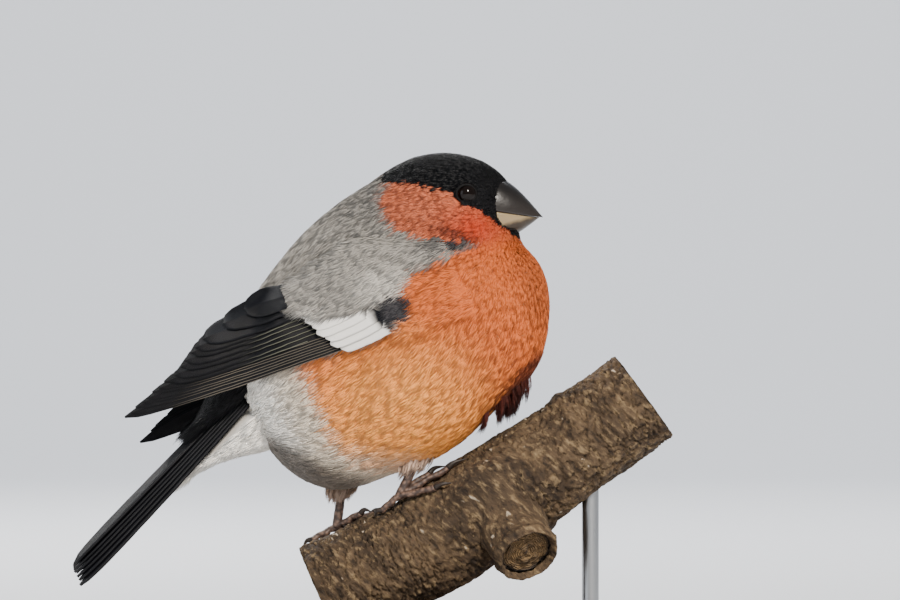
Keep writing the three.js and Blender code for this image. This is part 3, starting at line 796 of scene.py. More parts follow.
def build_fringes(plumage, material, rng):
    """The loose feathers that hang from the lower breast, and the soft ones round the top of each leg."""
    paints = paints_from(plumage)
    # The breast's fringe takes the painted shadow as its colour.
    drops = [("fringe_breast", np.array([21.5, 0.0, 73.5]), (9.0, 8.0, 6.5), np.array([0.16, 0.0, -1.0]), 520,
              (5.0, 9.5), 28, paints["painted_shadow"], "breast_feathers")]
    thigh = blend(paints["belly"], paints["breast"], 0.25)
    for name, side in SIDES.items():
        foot, top = leg_ends(side)
        drops.append((f"trouser_{name}", top + (foot - top) * 0.35, (3.0, 2.6, 1.5), unit(foot - top), 110,
                      (4.5, 7.5), 12, thigh, "white_feathers"))
    for name, middle, spread, fall, count, (short, long), wisps, tone, slot in drops:
        wisp = rng.integers(0, wisps, count)
        centres = (middle + rng.uniform(-1, 1, (wisps, 3)) * spread)[wisp]
        apart = rng.normal(0, 0.85, (count, 3))
        roots = on_body(centres + apart, -0.9, 8)
        normal = unit(body_slope(roots))
        lean = rng.normal(0, 0.1, (wisps, 3))[wisp] - 0.07 * apart
        way = unit(fall + normal * 0.1 + lean + rng.normal(0, 0.03, roots.shape))
        flank = unit(np.cross(normal, way))
        length = rng.uniform(short, long, wisps)[wisp] * rng.uniform(0.7, 1.1, count)
        width = rng.uniform(0.6, 1.1, count)

        def at(run, step, loft):
            places = roots[:, None, None] + way[:, None, None] * run[..., None]
            places = places + flank[:, None, None] * step[..., None]
            return places + normal[:, None, None] * (0.3 * loft - 0.03 * run**2)[..., None]

        colours = tone * rng.uniform(0.7, 1.15, (count, 1))
        unwrap, height = body_unwrap(roots), np.full(count, 0.8)
        feather_fans(name, at, normal, unwrap, colours, length, width, height, rng, material, slot)


def build_eyes(finishes):
    gloss, shader, where = new_material("Eye", {"Roughness": 0.06, "Specular IOR Level": 0.22})
    drive(shader, Base_Color=where.noise(1500.0).mix(rgba((5, 4, 4)), opaque(finishes.eye)))
    lid, shader, where = new_material("Lid", {"Roughness": 0.6, "Specular IOR Level": 0.1})
    wrinkles = where.noise(2600.0)
    shade = wrinkles.mix(rgba((5, 5, 6)), rgba((18, 17, 17)))
    drive(shader, Base_Color=shade, Normal=wrinkles.bumped(0.0001))
    for name, side in SIDES.items():
        clear_selection()
        bpy.ops.mesh.primitive_uv_sphere_add(
            segments=48, ring_count=32, radius=EYE["radius"] * MM, location=eye_centre(side) * MM,
            rotation=(math.pi / 2, 0, 0),
        )
        ball = take_primitive(f"eyeball_{name}")
        ball.data.shade_smooth()
        finished(ball, gloss, (f"eye_{name}",))
        clear_selection()
        bpy.ops.mesh.primitive_torus_add(
            major_radius=(EYE["seen"] + 0.16) * MM, minor_radius=LID_THICKNESS / 2 * MM,
            major_segments=56, minor_segments=12,
            location=(eye_rim(side) - [0, side * 0.15, 0]) * MM, rotation=(math.pi / 2, 0, side * -0.28),
        )
        ring = take_primitive(f"lids_{name}")
        points = positions(ring)
        # The ring is a little longer than it is high, with small wrinkles round it.
        points[:, 0] = EYE["x"] + (points[:, 0] - EYE["x"]) * 1.1
        points[:, 2] = EYE["z"] + (points[:, 2] - EYE["z"]) * 0.94
        points += read_vectors(ring.data.vertex_normals, "vector") * ridge(points, 0.5)[:, None] * 0.06
        set_positions(ring, points)
        ring.data.shade_smooth()
        finished(ring, lid)


def bill_half(edge, bulge, tip):
    """One half of the bill, from the line of the mouth out to its upper or lower edge."""

    def place(u, v, out):
        mouth = BILL_GAPE + (tip - BILL_GAPE) * u[..., None]
        top = edge + (tip - edge) * u[..., None]
        crest = np.sin(math.pi * u**0.85) * bulge
        width = BILL_HALF_WIDTH * (1 - u**1.7) ** 0.75 + 0.1
        angle = v * math.pi / 2
        height = out * np.cos(angle)
        bow = MOUTH_BOW * np.sin(math.pi * u) * (1 - height)
        x = blend(mouth[..., 0], top[..., 0], height)
        z = blend(mouth[..., 2], top[..., 2] + crest, height) + bow
        return np.stack([x, np.sin(angle) * width, z], -1)

    return shell(np.linspace(0, 1, 44) ** 0.9, np.linspace(-1, 1, 41), place)


def build_bill(finishes):
    finish = {"Roughness": 0.3, "Specular IOR Level": 0.35, "Coat Weight": 0.15, "Coat Roughness": 0.12}
    # Each half's shape and drop, the height of its change of colour and its slope, and its colours.
    for name, edge, bulge, tip, drop, change, slope, over, under, streak in (
        ("upper", BILL_CULMEN, 1.9, BILL_TIP, 0.0, (0.117, 0.127), 0.0,
         finishes.bill_upper, (42, 38, 36), (44, 38, 34)),
        # The lower half's pale colour, above its change of colour, is a painted highlight along its top.
        ("lower", BILL_CHIN, -1.5, BILL_TIP + [-0.9, 0, 0.1], 0.1, (0.1092, 0.1108), 0.3,
         finishes.bill_lower, (34, 26, 18), (112, 96, 70)),
    ):
        points, faces, uv = bill_half(edge, bulge, tip)
        material, shader, where = new_material(f"Bill {name}", finish)
        growth = where.noise(420.0)
        share = (where.part(2) - where.part(0) * slope + growth * 0.001).between(*change)
        colour = (where.noise(700.0) * 0.25).mix(share.mix(rgba(under), opaque(over)), rgba(streak))
        drive(shader, Base_Color=colour, Normal=growth.bumped(0.00008))
        tidy_shell(mesh_piece(f"bill_{name}_horn", points - [0, 0, drop], faces, material, "bill_horn",
                              (f"bill_{name}",), maps={"Horn": uv}))


# Wings
PAD_FRONT, PAD_END, PAD_SLANT = -2.0, 26.0, 0.57
COVERT_LINE = 29.0
# Each tier's feathers run from roots to tips, from its lowest feather to its highest.
FLIGHT_TIERS = {
    "primaries": {"count": 8, "roots": ((24, -3.6), (30, 1.4)), "tips": ((88, 0.3), (75, 4.6)),
                  "half": 2.7, "base": (0.0, 0.6), "blunt": 4.0, "sunk": 0.5},
    "secondaries": {"count": 6, "roots": ((30, 2.3), (33, 8.4)), "tips": ((73.5, 4.6), (64, 10.0)),
                    "half": 3.3, "base": (0.7, 1.2), "blunt": 6.0, "sunk": 1.5},
    "tertials": {"count": 3, "roots": ((32, 9.2), (34, 12.4)), "tips": ((61.5, 11.2), (49.0, 14.2)),
                 "half": 3.6, "base": (1.2, 1.7), "blunt": 6.0, "sunk": 3.2},
}
BAR_FEATHERS = 8
SHOULDER_FEATHERS = 2800
PATCH_CENTRE, PATCH_HALF = (14.0, -0.3), (5.6, 3.8)
SHOULDER_EDGE = ((-9, -8), (11, -7.5), (11.6, 3.8), (18, 3.6), (26, 6.0), (37, 9.5))


def pad_top(along, across):
    """How high the padded arm of the wing stands over the wing's surface."""
    middle = (WING_LOW + WING_HIGH) / 2
    edge = np.clip(np.abs(across - middle) / (WING_HIGH - middle), 0, 1.2)
    return -0.9 + 4.0 * smooth(along, 0, 22) * (1 - 0.5 * edge**2)


def arm_point(side, along, across, lift):
    """A place on the arm of the wing, which sinks into the breast at its front end."""
    along, across, lift = np.broadcast_arrays(along, across, lift)
    folded = wing_point(side, along, across, lift)
    pressed = on_body(folded, lift + 0.3, 3)
    return pressed + (folded - pressed) * smooth(along, 0, 15)[..., None]


VANE_ROWS = np.array([-1, -0.82, -0.6, -0.36, -0.14, -0.045, 0.0, 0.045, 0.14, 0.36, 0.6, 0.82, 1])


def vane(root, tip, half, base, slope, point_at, rng, thick=0.2, steps=20, blunt=4.0, camber=0.12, sunk=0.0,
         thin=0.55):
    """One feather as a closed blade with a raised shaft and a slightly ragged edge."""
    root, tip = np.array(root, float), np.array(tip, float)
    run = tip - root
    side = np.array([-run[1], run[0]]) / np.hypot(*run)
    wave = rng.uniform(0, 6.28, 3)

    def place(u, v, out):
        ragged = 0.035 * np.sin(31 * u + wave[0]) * np.sin(17 * u + wave[1]) * np.abs(v) ** 3
        width = half * np.minimum(1, 0.7 + 0.65 * u) * np.sqrt(1 - 0.992 * u**blunt) * (1 + ragged)
        beside = v * width + 0.5 * np.sin(math.pi * u)
        along, across = [root[axis] + run[axis] * u + side[axis] * beside for axis in (0, 1)]
        shaft = 0.16 * np.exp(-((v * width / 0.28) ** 2)) * (1 - 0.7 * u)
        lift = base + slope * (half - v * width) - camber * v**2 - sunk * smooth(u, 0.35, 0.0)
        return point_at(along, across, lift + out * (thick * (1 - thin * u**2) + shaft))

    return shell(np.linspace(0, 1, steps + 1), VANE_ROWS, place)


def build_wings(plumage, finishes):
    web = (9, 9, 12)
    materials = {
        "primaries": vane_material("Primaries", web, (116, 108, 96), edge_from=0.95, edge_to=0.9),
        "secondaries": vane_material("Secondaries", web, (112, 112, 98), edge_from=0.95, edge_to=0.62),
        "tertials": vane_material("Tertials", (9, 10, 14), (22, 22, 27), edge_from=0.96),
        "bar": vane_material(
            "Barred coverts", (14, 15, 20), (26, 27, 34), 0.8, 0.93, bar=opaque(finishes.wing_bar)
        ),
    }
    soft = soft_plumage("Wing coverts")
    for name, side in SIDES.items():
        rng = np.random.default_rng(40 + side)
        wing_at, arm_at = partial(wing_point, side), partial(arm_point, side)
        blades = {"primaries": [], "secondaries": [], "tertials": [], "bar": []}
        for group, tier in FLIGHT_TIERS.items():
            for share in np.linspace(0, 1, tier["count"]):
                root = [blend(*pair, share) for pair in zip(*tier["roots"])]
                tip = [blend(*pair, share) + rng.uniform(-0.3, 0.3) for pair in zip(*tier["tips"])]
                base = blend(*tier["base"], share)
                shape = {"blunt": tier["blunt"], "sunk": tier["sunk"]}
                blades[group].append(vane(root, tip, tier["half"], base, 0.4, wing_at, rng, **shape))
        for share in np.linspace(0, 1, BAR_FEATHERS):
            across = blend(WING_LOW + 1.4, 9.0, share)
            along = COVERT_LINE + (across - WING_LOW) * PAD_SLANT + rng.uniform(-0.5, 0.5)
            base = float(pad_top(np.array(along - 6), np.array(across))) + 0.1
            root, tip = (along - 18, across + 0.8), (along, across)
            blades["bar"].append(vane(root, tip, 2.6, base, 0.1, arm_at, rng, blunt=7.0, steps=14, sunk=2.2))
        for group, feathers in blades.items():
            points, faces, uv = merged(feathers)
            slot = "white_feathers" if group == "bar" else "flight_feathers"
            node = (f"wing_{name}",) if group == "primaries" else ()
            tidy_shell(mesh_piece(
                f"wing_{group}_{name}", points, faces, materials[group], slot, node, maps={"Vane": uv}
            ))
        build_scapulars(name, side, rng, soft, plumage)


def build_scapulars(name, side, rng, material, plumage):
    """The grey shoulder feathers, which lie over the arm of the wing, and the pad that they grow from."""
    paints = paints_from(plumage)

    def pad_place(u, v, out):
        straight = blend(PAD_FRONT, PAD_END, u)
        low = WING_LOW + 9 * (1 - smooth(straight, PAD_FRONT, 16))
        high = WING_HIGH - 7 * (1 - smooth(straight, PAD_FRONT, 14))
        across = blend(low, high, (v + 1) / 2)
        along = straight + u * (across - WING_LOW) * PAD_SLANT
        return arm_point(side, along, across, np.where(out > 0, pad_top(along, across) - 0.4, -1.8))

    points, faces, _ = shell(np.linspace(0, 1, 30), np.linspace(-1, 1, 24), pad_place)
    shade = np.broadcast_to(paints["mantle"] * 0.9, points.shape)
    tidy_shell(mesh_piece(f"wing_arm_{name}", points, faces, material, "flight_feathers", colours=shade))
    count = SHOULDER_FEATHERS
    order = np.arange(count) + 0.5
    along, across = blend(-9, 37, (order * EVEN_STEP) % 1.0), blend(-8, 22, (order * EVEN_STEP_ACROSS) % 1.0)
    lower = curve_through(SHOULDER_EDGE, along)
    line = COVERT_LINE + 1.0 + (across - WING_LOW) * PAD_SLANT + 3.0 * smooth(across, 7, 11)
    keep = (across > lower + rng.normal(0, 0.5, count)) & (along + 8.5 < line) & (across < 22 - 0.2 * along)
    roots = arm_point(side, along, across, pad_top(along, across))
    ahead = roots[:, 0] - curve_through(MANTLE_EDGE, roots[:, 2])
    keep &= (roots[:, 2] < 112) & ((ahead < -1.0) | (roots[:, 2] < 104)) & (roots[:, 1] * side > 4)
    along, across, line, roots = along[keep], across[keep], line[keep], roots[keep]
    count = len(roots)
    upward = unit(body_slope(roots))
    tilt = rng.normal(-0.12, 0.12, count)[:, None, None]

    def at(run, step, loft):
        ahead = along[:, None, None] + run * np.cos(tilt) - step * np.sin(tilt)
        aside = across[:, None, None] + run * np.sin(tilt) + step * np.cos(tilt)
        return arm_point(side, ahead, aside, pad_top(ahead, aside) + loft)

    tone, _ = plumage_colour(arm_point(side, along + 3.5, across - 0.4, 0.0), rng, paints)
    near_bar = smooth(line - along - 8.5 + rng.normal(0, 1, count), 7, 1) * (across < 9) * (along > 8)
    tone = blend(tone, paints["mantle_light"], 0.6 * near_bar[:, None])
    middle = (np.stack([along + 4.5, across], -1) - PATCH_CENTRE) / PATCH_HALF
    patch = smooth(np.hypot(*middle.T) + rng.normal(0, 0.12, count), 1.2, 0.8)
    tone = blend(tone, paints["patch"], patch[:, None])
    length, width = rng.uniform(7, 9.5, count), rng.uniform(1.6, 2.1, count)
    length = np.where((across < 4) & (along > 3), rng.uniform(5.5, 7.2, count), length)
    height = rng.normal(1.1, 0.08, count)
    feather_fans(
        f"scapulars_{name}", at, upward, body_unwrap(roots), tone, length, width, height, rng, material,
        "breast_feathers",
    )


# Tail
TAIL_COVERTS = 680


def tail_cover(name, slot, node, sign, start, end, half, thick, clear, colour, material, rng, length):
    """A pad over or under the tail's root, dressed with small feathers."""

    def width(along):
        share = np.clip((along - start) / (end - start), 0, 1)
        return half * np.sqrt(np.clip(1 - 0.75 * share**3, 0.05, 1))

    def over(along, turn):
        high = clear + thick * (1 - smooth(along, start + 3, end + 3)) * np.cos(turn) + 0.1
        return tail_point(along, np.sin(turn) * width(along), sign * high)

    def place(u, v, out):
        along, turn = blend(start, end, u), v * math.pi / 2
        outer = over(along, turn) - TAIL_UP * sign * 0.3
        inner = tail_point(along, np.sin(turn) * width(along), np.full(along.shape, sign * (clear - 0.2)))
        return np.where(out[..., None] > 0, outer, inner)

    points, faces, _ = shell(np.linspace(0, 1, 24), np.linspace(-1, 1, 24), place)
    shade = np.broadcast_to(colour * 0.8, points.shape)
    tidy_shell(mesh_piece(f"{name}_pad", points, faces, material, slot, (node,), colours=shade))
    count = TAIL_COVERTS
    along, turn = rng.uniform(start - 2, end, count), rng.uniform(-0.5, 0.5, count) * math.pi
    upward = sign * TAIL_UP * np.cos(turn)[:, None] + TAIL_ACROSS * np.sin(turn)[:, None]
    flank = TAIL_ACROSS * np.cos(turn)[:, None] - sign * TAIL_UP * np.sin(turn)[:, None]

    def at(run, step, loft):
        places = over(along[:, None, None] + run, np.broadcast_to(turn[:, None, None], run.shape))
        return places + flank[:, None, None] * step[..., None] + upward[:, None, None] * loft[..., None]

    tone = colour * rng.uniform(0.92, 1.04, (count, 1))
    patch = np.stack([(along - start + 2) / (end - start + 2), turn / math.pi + 0.5], -1) * 0.9 + 0.05
    lengths, widths = rng.uniform(0.85, 1.1, count) * length, rng.uniform(1.2, 1.9, count)
    height = rng.normal(0.45, 0.12, count)
    feather_fans(name, at, upward, patch, tone, lengths, widths, height, rng, material, slot)


def build_tail(plumage):
    rng = np.random.default_rng(61)
    web = vane_material("Tail feathers", (8, 8, 11), (26, 26, 31), 0.36, 0.95)
    blades = []
    for side in (RIGHT, LEFT):

        def at(along, across, lift):
            return tail_point(along, side * across, lift)

        for share in np.linspace(0, 1, TAIL_FEATHERS_A_SIDE):
            root = blend(4, 6, share), blend(0.8, 5.2, share)
            reach = blend(TAIL_LENGTH - 1.8, TAIL_LENGTH, share) + rng.uniform(-0.2, 0.2)
            tip = reach, blend(1.0, 8.1, share)
            middle = share == 0 and side == RIGHT
            base, thick = (-0.15, 0.95) if middle else (-0.35 - 1.5 * share, 0.75)
            blades.append(
                vane(root, tip, 3.5, base, -0.36, at, rng, thick, steps=26, blunt=13.0, camber=0.0, thin=0.15)
            )
    points, faces, uv = merged(blades)
    tail = mesh_piece("tail_feathers", points, faces, web, "flight_feathers", ("tail",), maps={"Vane": uv})
    tidy_shell(tail)
    paints = paints_from(plumage)
    gloss, soft = plumage_material("Rump gloss", 0.4, 0.0), soft_plumage("Undertail plumage")
    tail_cover("uppertail_feathers", "flight_feathers", "uppertail_coverts", 1, 0, 19, 8.0, 5.5, 1.6,
               paints["cap"] * 1.1, gloss, rng, 8.5)
    tail_cover("undertail_feathers", "white_feathers", "undertail_coverts", -1, 0, 29, 10.0, 15.0, 4.4,
               paints["vent"], soft, rng, 9.0)


# Perch
PERCH_KNOTS = np.array(
    ((-27.0, 19.4), (-12.0, 26.4), (1.5, 33.2), (22.5, 47.6), (42.5, 60.6), (57.0, 71.2))
)
PERCH_LENGTH = 99.0
STUB_SHARE, STUB_RADIUS, STUB_LENGTH = 0.56, 7.8, 23.0
STUB_DIRECTION = unit(np.array([0.35, -0.72, -0.6]))
STUB_RINGS, STUB_LIP_RINGS = 90, 16


def perch_line(share):
    """A point in the middle of the perch, on a curve through its knots."""
    before, after = 2 * PERCH_KNOTS[0] - PERCH_KNOTS[1], 2 * PERCH_KNOTS[-1] - PERCH_KNOTS[-2]
    knots = np.concatenate([[before], PERCH_KNOTS, [after]])
    place = np.clip(np.asarray(share, float), 0, 1) * (len(PERCH_KNOTS) - 1)
    index = np.minimum(place.astype(int), len(PERCH_KNOTS) - 2)
    u = (place - index)[..., None]
    p = [knots[index + i] for i in range(4)]
    gaps = [np.sqrt(np.linalg.norm(p[i + 1] - p[i], axis=-1, keepdims=True)) for i in range(3)]

    def slope(i):
        """The curve's slope at the knot i, for the gap in the middle."""
        turn = (p[i + 1] - p[i - 1]) / (gaps[i - 1] + gaps[i])
        return ((p[i] - p[i - 1]) / gaps[i - 1] - turn + (p[i + 1] - p[i]) / gaps[i]) * gaps[1]

    first, last = slope(1), slope(2)
    square = -3 * p[1] + 3 * p[2] - 2 * first - last
    cube = 2 * p[1] - 2 * p[2] + first + last
    point = p[1] + first * u + square * u**2 + cube * u**3
    return np.stack([point[..., 0], np.zeros(point.shape[:-1]), point[..., 1]], -1)


def perch_radius(share):
    """The perch's radius before its bark, thicker towards the stub."""
    return blend(13.4, 12.6, share) + 0.9 * np.exp(-(((share - 0.52) / 0.16) ** 2))


def perch_point(share, angle, lift):
    """A place on the perch: a share of its length, an angle from its top and a height over it."""
    share, angle, lift = np.broadcast_arrays(np.asarray(share, float), angle, lift)
    inner = np.clip(share, 0.001, 0.999)
    ahead = unit(perch_line(inner + 0.001) - perch_line(inner - 0.001))
    left = np.array([0.0, 1.0, 0.0])
    up = np.cross(ahead, np.broadcast_to(left, ahead.shape))
    rough = 0.22 * np.sin(3 * angle + 9 * share) + 0.16 * np.sin(5 * angle - 23 * share)
    radius = perch_radius(share) + rough + 0.12 * np.sin(31 * share) + lift
    outward = up * np.cos(angle)[..., None] + left * np.sin(angle)[..., None]
    return perch_line(share) + outward * radius[..., None]


def bark_material(finishes):
    material, shader, where = new_material("Bark", {"Roughness": 0.85, "Specular IOR Level": 0.3})
    along = where.node("ShaderNodeMapping", {"vector_type": "TEXTURE"}, {
        "Vector": where, "Rotation": (0, 0.75, 0), "Scale": (3.0, 1.0, 1.0)})
    broad, fine = along.noise(90.0, 5.0, 0.65), along.noise(760.0, 4.0, 0.6)
    base = broad.between(0.3, 0.7).mix(rgba((48, 37, 27)), rgba((92, 74, 54)))
    base = fine.between(0.5, 0.72).mix(base, opaque(finishes.bark))
    base = (fine.between(0.5, 0.3) * 0.8).mix(base, rgba((24, 18, 13)))
    base = along.noise(330.0, 2.0, 0.5).between(0.69, 0.75).mix(base, opaque(finishes.bark_flecks))
    drive(shader, Base_Color=base, Normal=(fine * 0.8 + broad).bumped(0.0011, 0.9))
    return material


def cut_wood_material(finishes):
    material, shader, where = new_material("Cut wood", {"Roughness": 0.75})
    radius, wobble = where.node("ShaderNodeUVMap", {"uv_map": "Rings"}).part(0), where.noise(260.0)
    rings = (radius * 84.0 + wobble * 9.0).math("SINE")
    wood = rings.between(-0.8, 1.2).mix(rgba((104, 80, 50)), opaque(finishes.cut_wood))
    wood = wobble.between(0.4, 0.75).mix(wood, rgba((82, 64, 42)))
    wood = radius.between(0.16, 0.02).mix(wood, rgba((48, 32, 22)))
    wood = radius.between(0.78, 0.92).mix(wood, rgba((44, 32, 24)))
    drive(shader, Base_Color=wood, Normal=(rings * 0.4 + wobble).bumped(0.0004))
    return material


def disc(centre, axis, radius, rng, dome=0.0, relief=0.15):
    """A cut end: rings round a centre, with its wood grain as relief."""
    side = unit(np.cross(axis, [0.0, 0.3, 1.0]))
    up = np.cross(side, axis)
    turns = np.linspace(0, 2 * math.pi, 72, endpoint=False)
    share, turn = np.meshgrid(np.linspace(0.02, 1, 26), turns, indexing="ij")
    flat = side * (np.cos(turn) * share * radius)[..., None] + up * (np.sin(turn) * share * radius)[..., None]
    points = centre + flat
    grain = ridge(points, 2.2, rng.uniform(0, 9)) * relief + np.sin(share * 38) * 0.08 - dome * share**2
    points = points + axis * grain[..., None]
    uv = np.stack([share, turn / (2 * math.pi)], -1).reshape(-1, 2)
    return points.reshape(-1, 3), ring_walls(*share.shape), uv


def build_shaft(bark):
    angles = np.linspace(-math.pi, math.pi, 180, endpoint=False)
    share, angle = np.meshgrid(np.linspace(0, 1, 300), angles, indexing="ij")
    points = perch_point(share, angle, 0.0)
    outward = unit(points - perch_line(share))
    stretched = np.stack([share * 38, np.cos(angle) * 9, np.sin(angle) * 9], -1)
    furrows = 0.9 * smooth(np.abs(ridge(stretched * [2.2, 1.0, 1.0], 2.2, 5.0)), 0.22, 0.0)
    relief = 0.5 * ridge(stretched, 5.0) + 0.2 - furrows + 0.18 * ridge(stretched, 0.8, 9.0)
    collar = np.exp(-(((share - 0.79) / 0.018) ** 2)) * 0.9 * (np.cos(angle - 0.4) > -0.2)
    edge = 0.25 * (smooth(share, 0.012, 0.0) + smooth(share, 0.988, 1.0))
    points = points + outward * (relief + collar - edge)[..., None]
    mesh_piece("perch_bark", points.reshape(-1, 3), ring_walls(*share.shape), bark, "bark", ("perch",))


def build_stub(bark):
    """The stub's bark, which flares out of the branch and curls in over its cut end."""
    reach = np.concatenate([np.linspace(0.1, 1, STUB_RINGS), np.ones(STUB_LIP_RINGS)])
    curl = np.concatenate([np.zeros(STUB_RINGS), np.linspace(0.05, 1, STUB_LIP_RINGS)])
    turn = np.linspace(0, 2 * math.pi, 120, endpoint=False)
    side = unit(np.cross(STUB_DIRECTION, [0.0, 0.0, 1.0]))
    up = np.cross(side, STUB_DIRECTION)
    flare = STUB_RADIUS * (1 + 0.75 * np.exp(-(reach * STUB_LENGTH - 8) / 4.0).clip(0, 1.6))
    rim = 0.7 * np.exp(-(((reach - 0.95) / 0.05) ** 2)) - 0.8 * (1 - np.cos(curl * math.pi * 0.9))
    ring = side * np.cos(turn)[:, None] + up * np.sin(turn)[:, None]
    out = (reach * STUB_LENGTH + 0.9 * np.sin(curl * math.pi * 1.25))[:, None]
    centres = perch_line(STUB_SHARE) + STUB_DIRECTION * out
    points = centres[:, None] + ring[None] * (flare + rim)[:, None, None]
    bumps = 0.45 * ridge(points * [1, 1, 0.7], 3.0, 2.0) + 0.2 * ridge(points, 1.2, 7.0)
    points = points + ring[None] * bumps[..., None]
    mesh_piece("stub_bark", points.reshape(-1, 3), ring_walls(*points.shape[:2]), bark, "bark")


def build_perch(finishes):
    rng = np.random.default_rng(71)
    bark, wood = bark_material(finishes), cut_wood_material(finishes)
    build_shaft(bark)
    build_stub(bark)
    cut = perch_line(STUB_SHARE) + STUB_DIRECTION * (STUB_LENGTH - 0.9)
    ends = [disc(cut, STUB_DIRECTION, STUB_RADIUS - 0.7, rng, 0.7, 0.9)]
    for share, inner in ((0.0, 0.01), (1.0, 0.99)):
        end = perch_line(share)
        ends.append(disc(end, unit(end - perch_line(inner)), perch_radius(share) - 0.1, rng))
    points, faces, uv = merged(ends)
    mesh_piece("perch_cut_ends", points, faces, wood, "bark", maps={"Rings": uv})


# Legs: where each foot stands on the perch, the top of each bare leg, and each toe's length and angle.
FEET = {RIGHT: (0.386, -0.42), LEFT: (0.13, 0.42)}
TARSUS_TOP = {RIGHT: (1.5, 62.0), LEFT: (-20.5, 56.0)}
TOES = ((9.5, -0.42), (13.0, 0.0), (10.0, 0.4), (8.0, math.pi))
TOE_RADIUS, CLAW, ANKLE_HEIGHT = 1.05, 4.2, 2.1


def toe(side, length, turn):
    """A toe along the perch with its scutes, and its claw."""
    share, angle = FEET[side]
    u = np.linspace(0, 1, 40)
    run = u * (length + CLAW)
    on_claw = np.clip((run - length) / CLAW, 0, 1)
    knuckles = 0.35 * np.sin(math.pi * u * 3) ** 2
    height = 1.5 * (1 - u) + TOE_RADIUS * 0.75 + knuckles + 0.5 * np.sin(math.pi * on_claw) - 0.3 * on_claw
    sideways = math.sin(turn) * run * -side / perch_radius(share)
    path = perch_point(share + math.cos(turn) * run / PERCH_LENGTH, angle + sideways, height)
    scutes = 1 + 0.07 * ((u * 15) % 1.0)
    radius = TOE_RADIUS * (1.08 - 0.3 * u) * scutes * (1 + 0.1 * np.cos(math.pi * u * 6))
    skin, nail = on_claw <= 0.12, on_claw > 0.0
    narrowing = 0.72 * (1 - on_claw[nail] ** 1.3) + 0.05
    return tube(path[skin], radius[skin], 14, 0.85), tube(path[nail], narrowing, 12, 1.15)


def build_legs(finishes):
    skin, shader, where = new_material("Leg scales", {"Roughness": 0.55})
    scales = where.node("ShaderNodeTexVoronoi", None, {"Vector": where, "Scale": 900.0})
    drive(shader, Base_Color=scales.between(0.1, 0.7).mix(opaque(finishes.legs), rgba((58, 44, 38))),
          Normal=(1.0 - scales).bumped(0.00012))
    horn, shader, where = new_material("Claws", {"Roughness": 0.45, "Specular IOR Level": 0.3})
    drive(shader, Base_Color=where.noise(1400.0).mix(rgba((24, 20, 18)), opaque(finishes.claws)))
    for name, side in SIDES.items():
        limbs, claws = [list(limb) for limb in zip(*(toe(side, *shape) for shape in TOES))]
        ankle, top = leg_ends(side)
        u = np.linspace(0, 1, 40)
        scutes = 1 + 0.07 * ((u * 9) % 1.0)
        limbs.append(tube(ankle + (top - ankle) * u[:, None], (1.35 - 0.25 * u) * scutes, 16, 0.9, (1, 0, 0)))
        mesh_piece(f"foot_{name}", *merged(limbs), skin, "leg_scales", (f"leg_{name}",))
        mesh_piece(f"claws_{name}", *merged(claws), horn, "leg_scales")


# Stand
PLATE_TOP = 6.5
COLLAR_EDGE = 0.4


def stand_wood_material(finishes):
    material, shader, where = new_material(
        "Stand wood", {"Roughness": 0.38, "Coat Weight": 0.25, "Coat Roughness": 0.2}
    )
    grain = where.stretched(0.12, 1.0, 1.0)
    lines, broad = grain.noise(420.0, 6.0, 0.6), grain.noise(60.0)
    colour = lines.between(0.3, 0.7).mix(rgba((48, 31, 22)), opaque(finishes.stand_wood))
    drive(shader, Base_Color=(broad * 0.5).mix(colour, rgba((62, 42, 30))), Normal=lines.bumped(0.00006))
    return material


def rod_steel_material(finishes):
    values = {"Metallic": 1.0, "Roughness": 0.3, "Base Color": opaque(finishes.steel)}
    material, shader, where = new_material("Rod steel", values)
    drive(shader, Roughness=where.stretched(1.0, 1.0, 0.05).noise(2400.0) * 0.25 + 0.2)
    return material


def build_stand(sizes, finishes):
    low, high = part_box("stand_base")
    clear_selection()
    bpy.ops.mesh.primitive_cube_add(size=1.0, location=(low + high) / 2)
    bpy.context.object.scale = high - low
    base = take_primitive("stand_plate")
    bpy.ops.object.mode_set(mode="EDIT")
    bpy.ops.mesh.select_all(action="DESELECT")
    bpy.ops.mesh.select_mode(type="EDGE")
    bpy.ops.object.mode_set(mode="OBJECT")
    heights = positions(base)[:, 2]
    for edge in base.data.edges:
        edge.select = bool(abs(heights[edge.vertices[0]] - heights[edge.vertices[1]]) > 1)
    bpy.ops.object.mode_set(mode="EDIT")
    bpy.ops.mesh.bevel(offset=sizes.plate_corner, segments=14, affect="EDGES")
    bpy.ops.object.mode_set(mode="OBJECT")
    round_edges(base, sizes.plate_edge, 4)
    finished(base, stand_wood_material(finishes), ("stand_base",))
    steel = rod_steel_material(finishes)
    for name in ("rear", "front"):
        low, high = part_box(f"stand_rod_{name}")
        middle = (low + high) / 2
        clear_selection()
        bpy.ops.mesh.primitive_cylinder_add(
            vertices=48, radius=(high.x - low.x) / 2, depth=high.z - low.z, location=middle
        )
        rod = take_primitive(f"rod_{name}")
        bpy.ops.object.shade_smooth_by_angle(angle=SMOOTH_ANGLE)
        finished(rod, steel, (f"stand_rod_{name}",))
        clear_selection()
        bpy.ops.mesh.primitive_cylinder_add(
            vertices=48, radius=sizes.collar_radius, depth=sizes.collar_height,
            location=(middle.x, middle.y, PLATE_TOP * MM + sizes.collar_height / 2),
        )
        collar = take_primitive(f"rod_collar_{name}")
        round_edges(collar, COLLAR_EDGE * MM, 3)
        finished(collar, steel)


# Stage. The photograph's scale is in millimetres to a pixel. The model's camera looks level along +Y.
PHOTO_SCALE = 0.26
PHOTO_WIDTH = 900
VIEW_CENTRE = (6.5, 96.2)
CAMERA_DISTANCE = 1400.0
SENSOR = 36.0
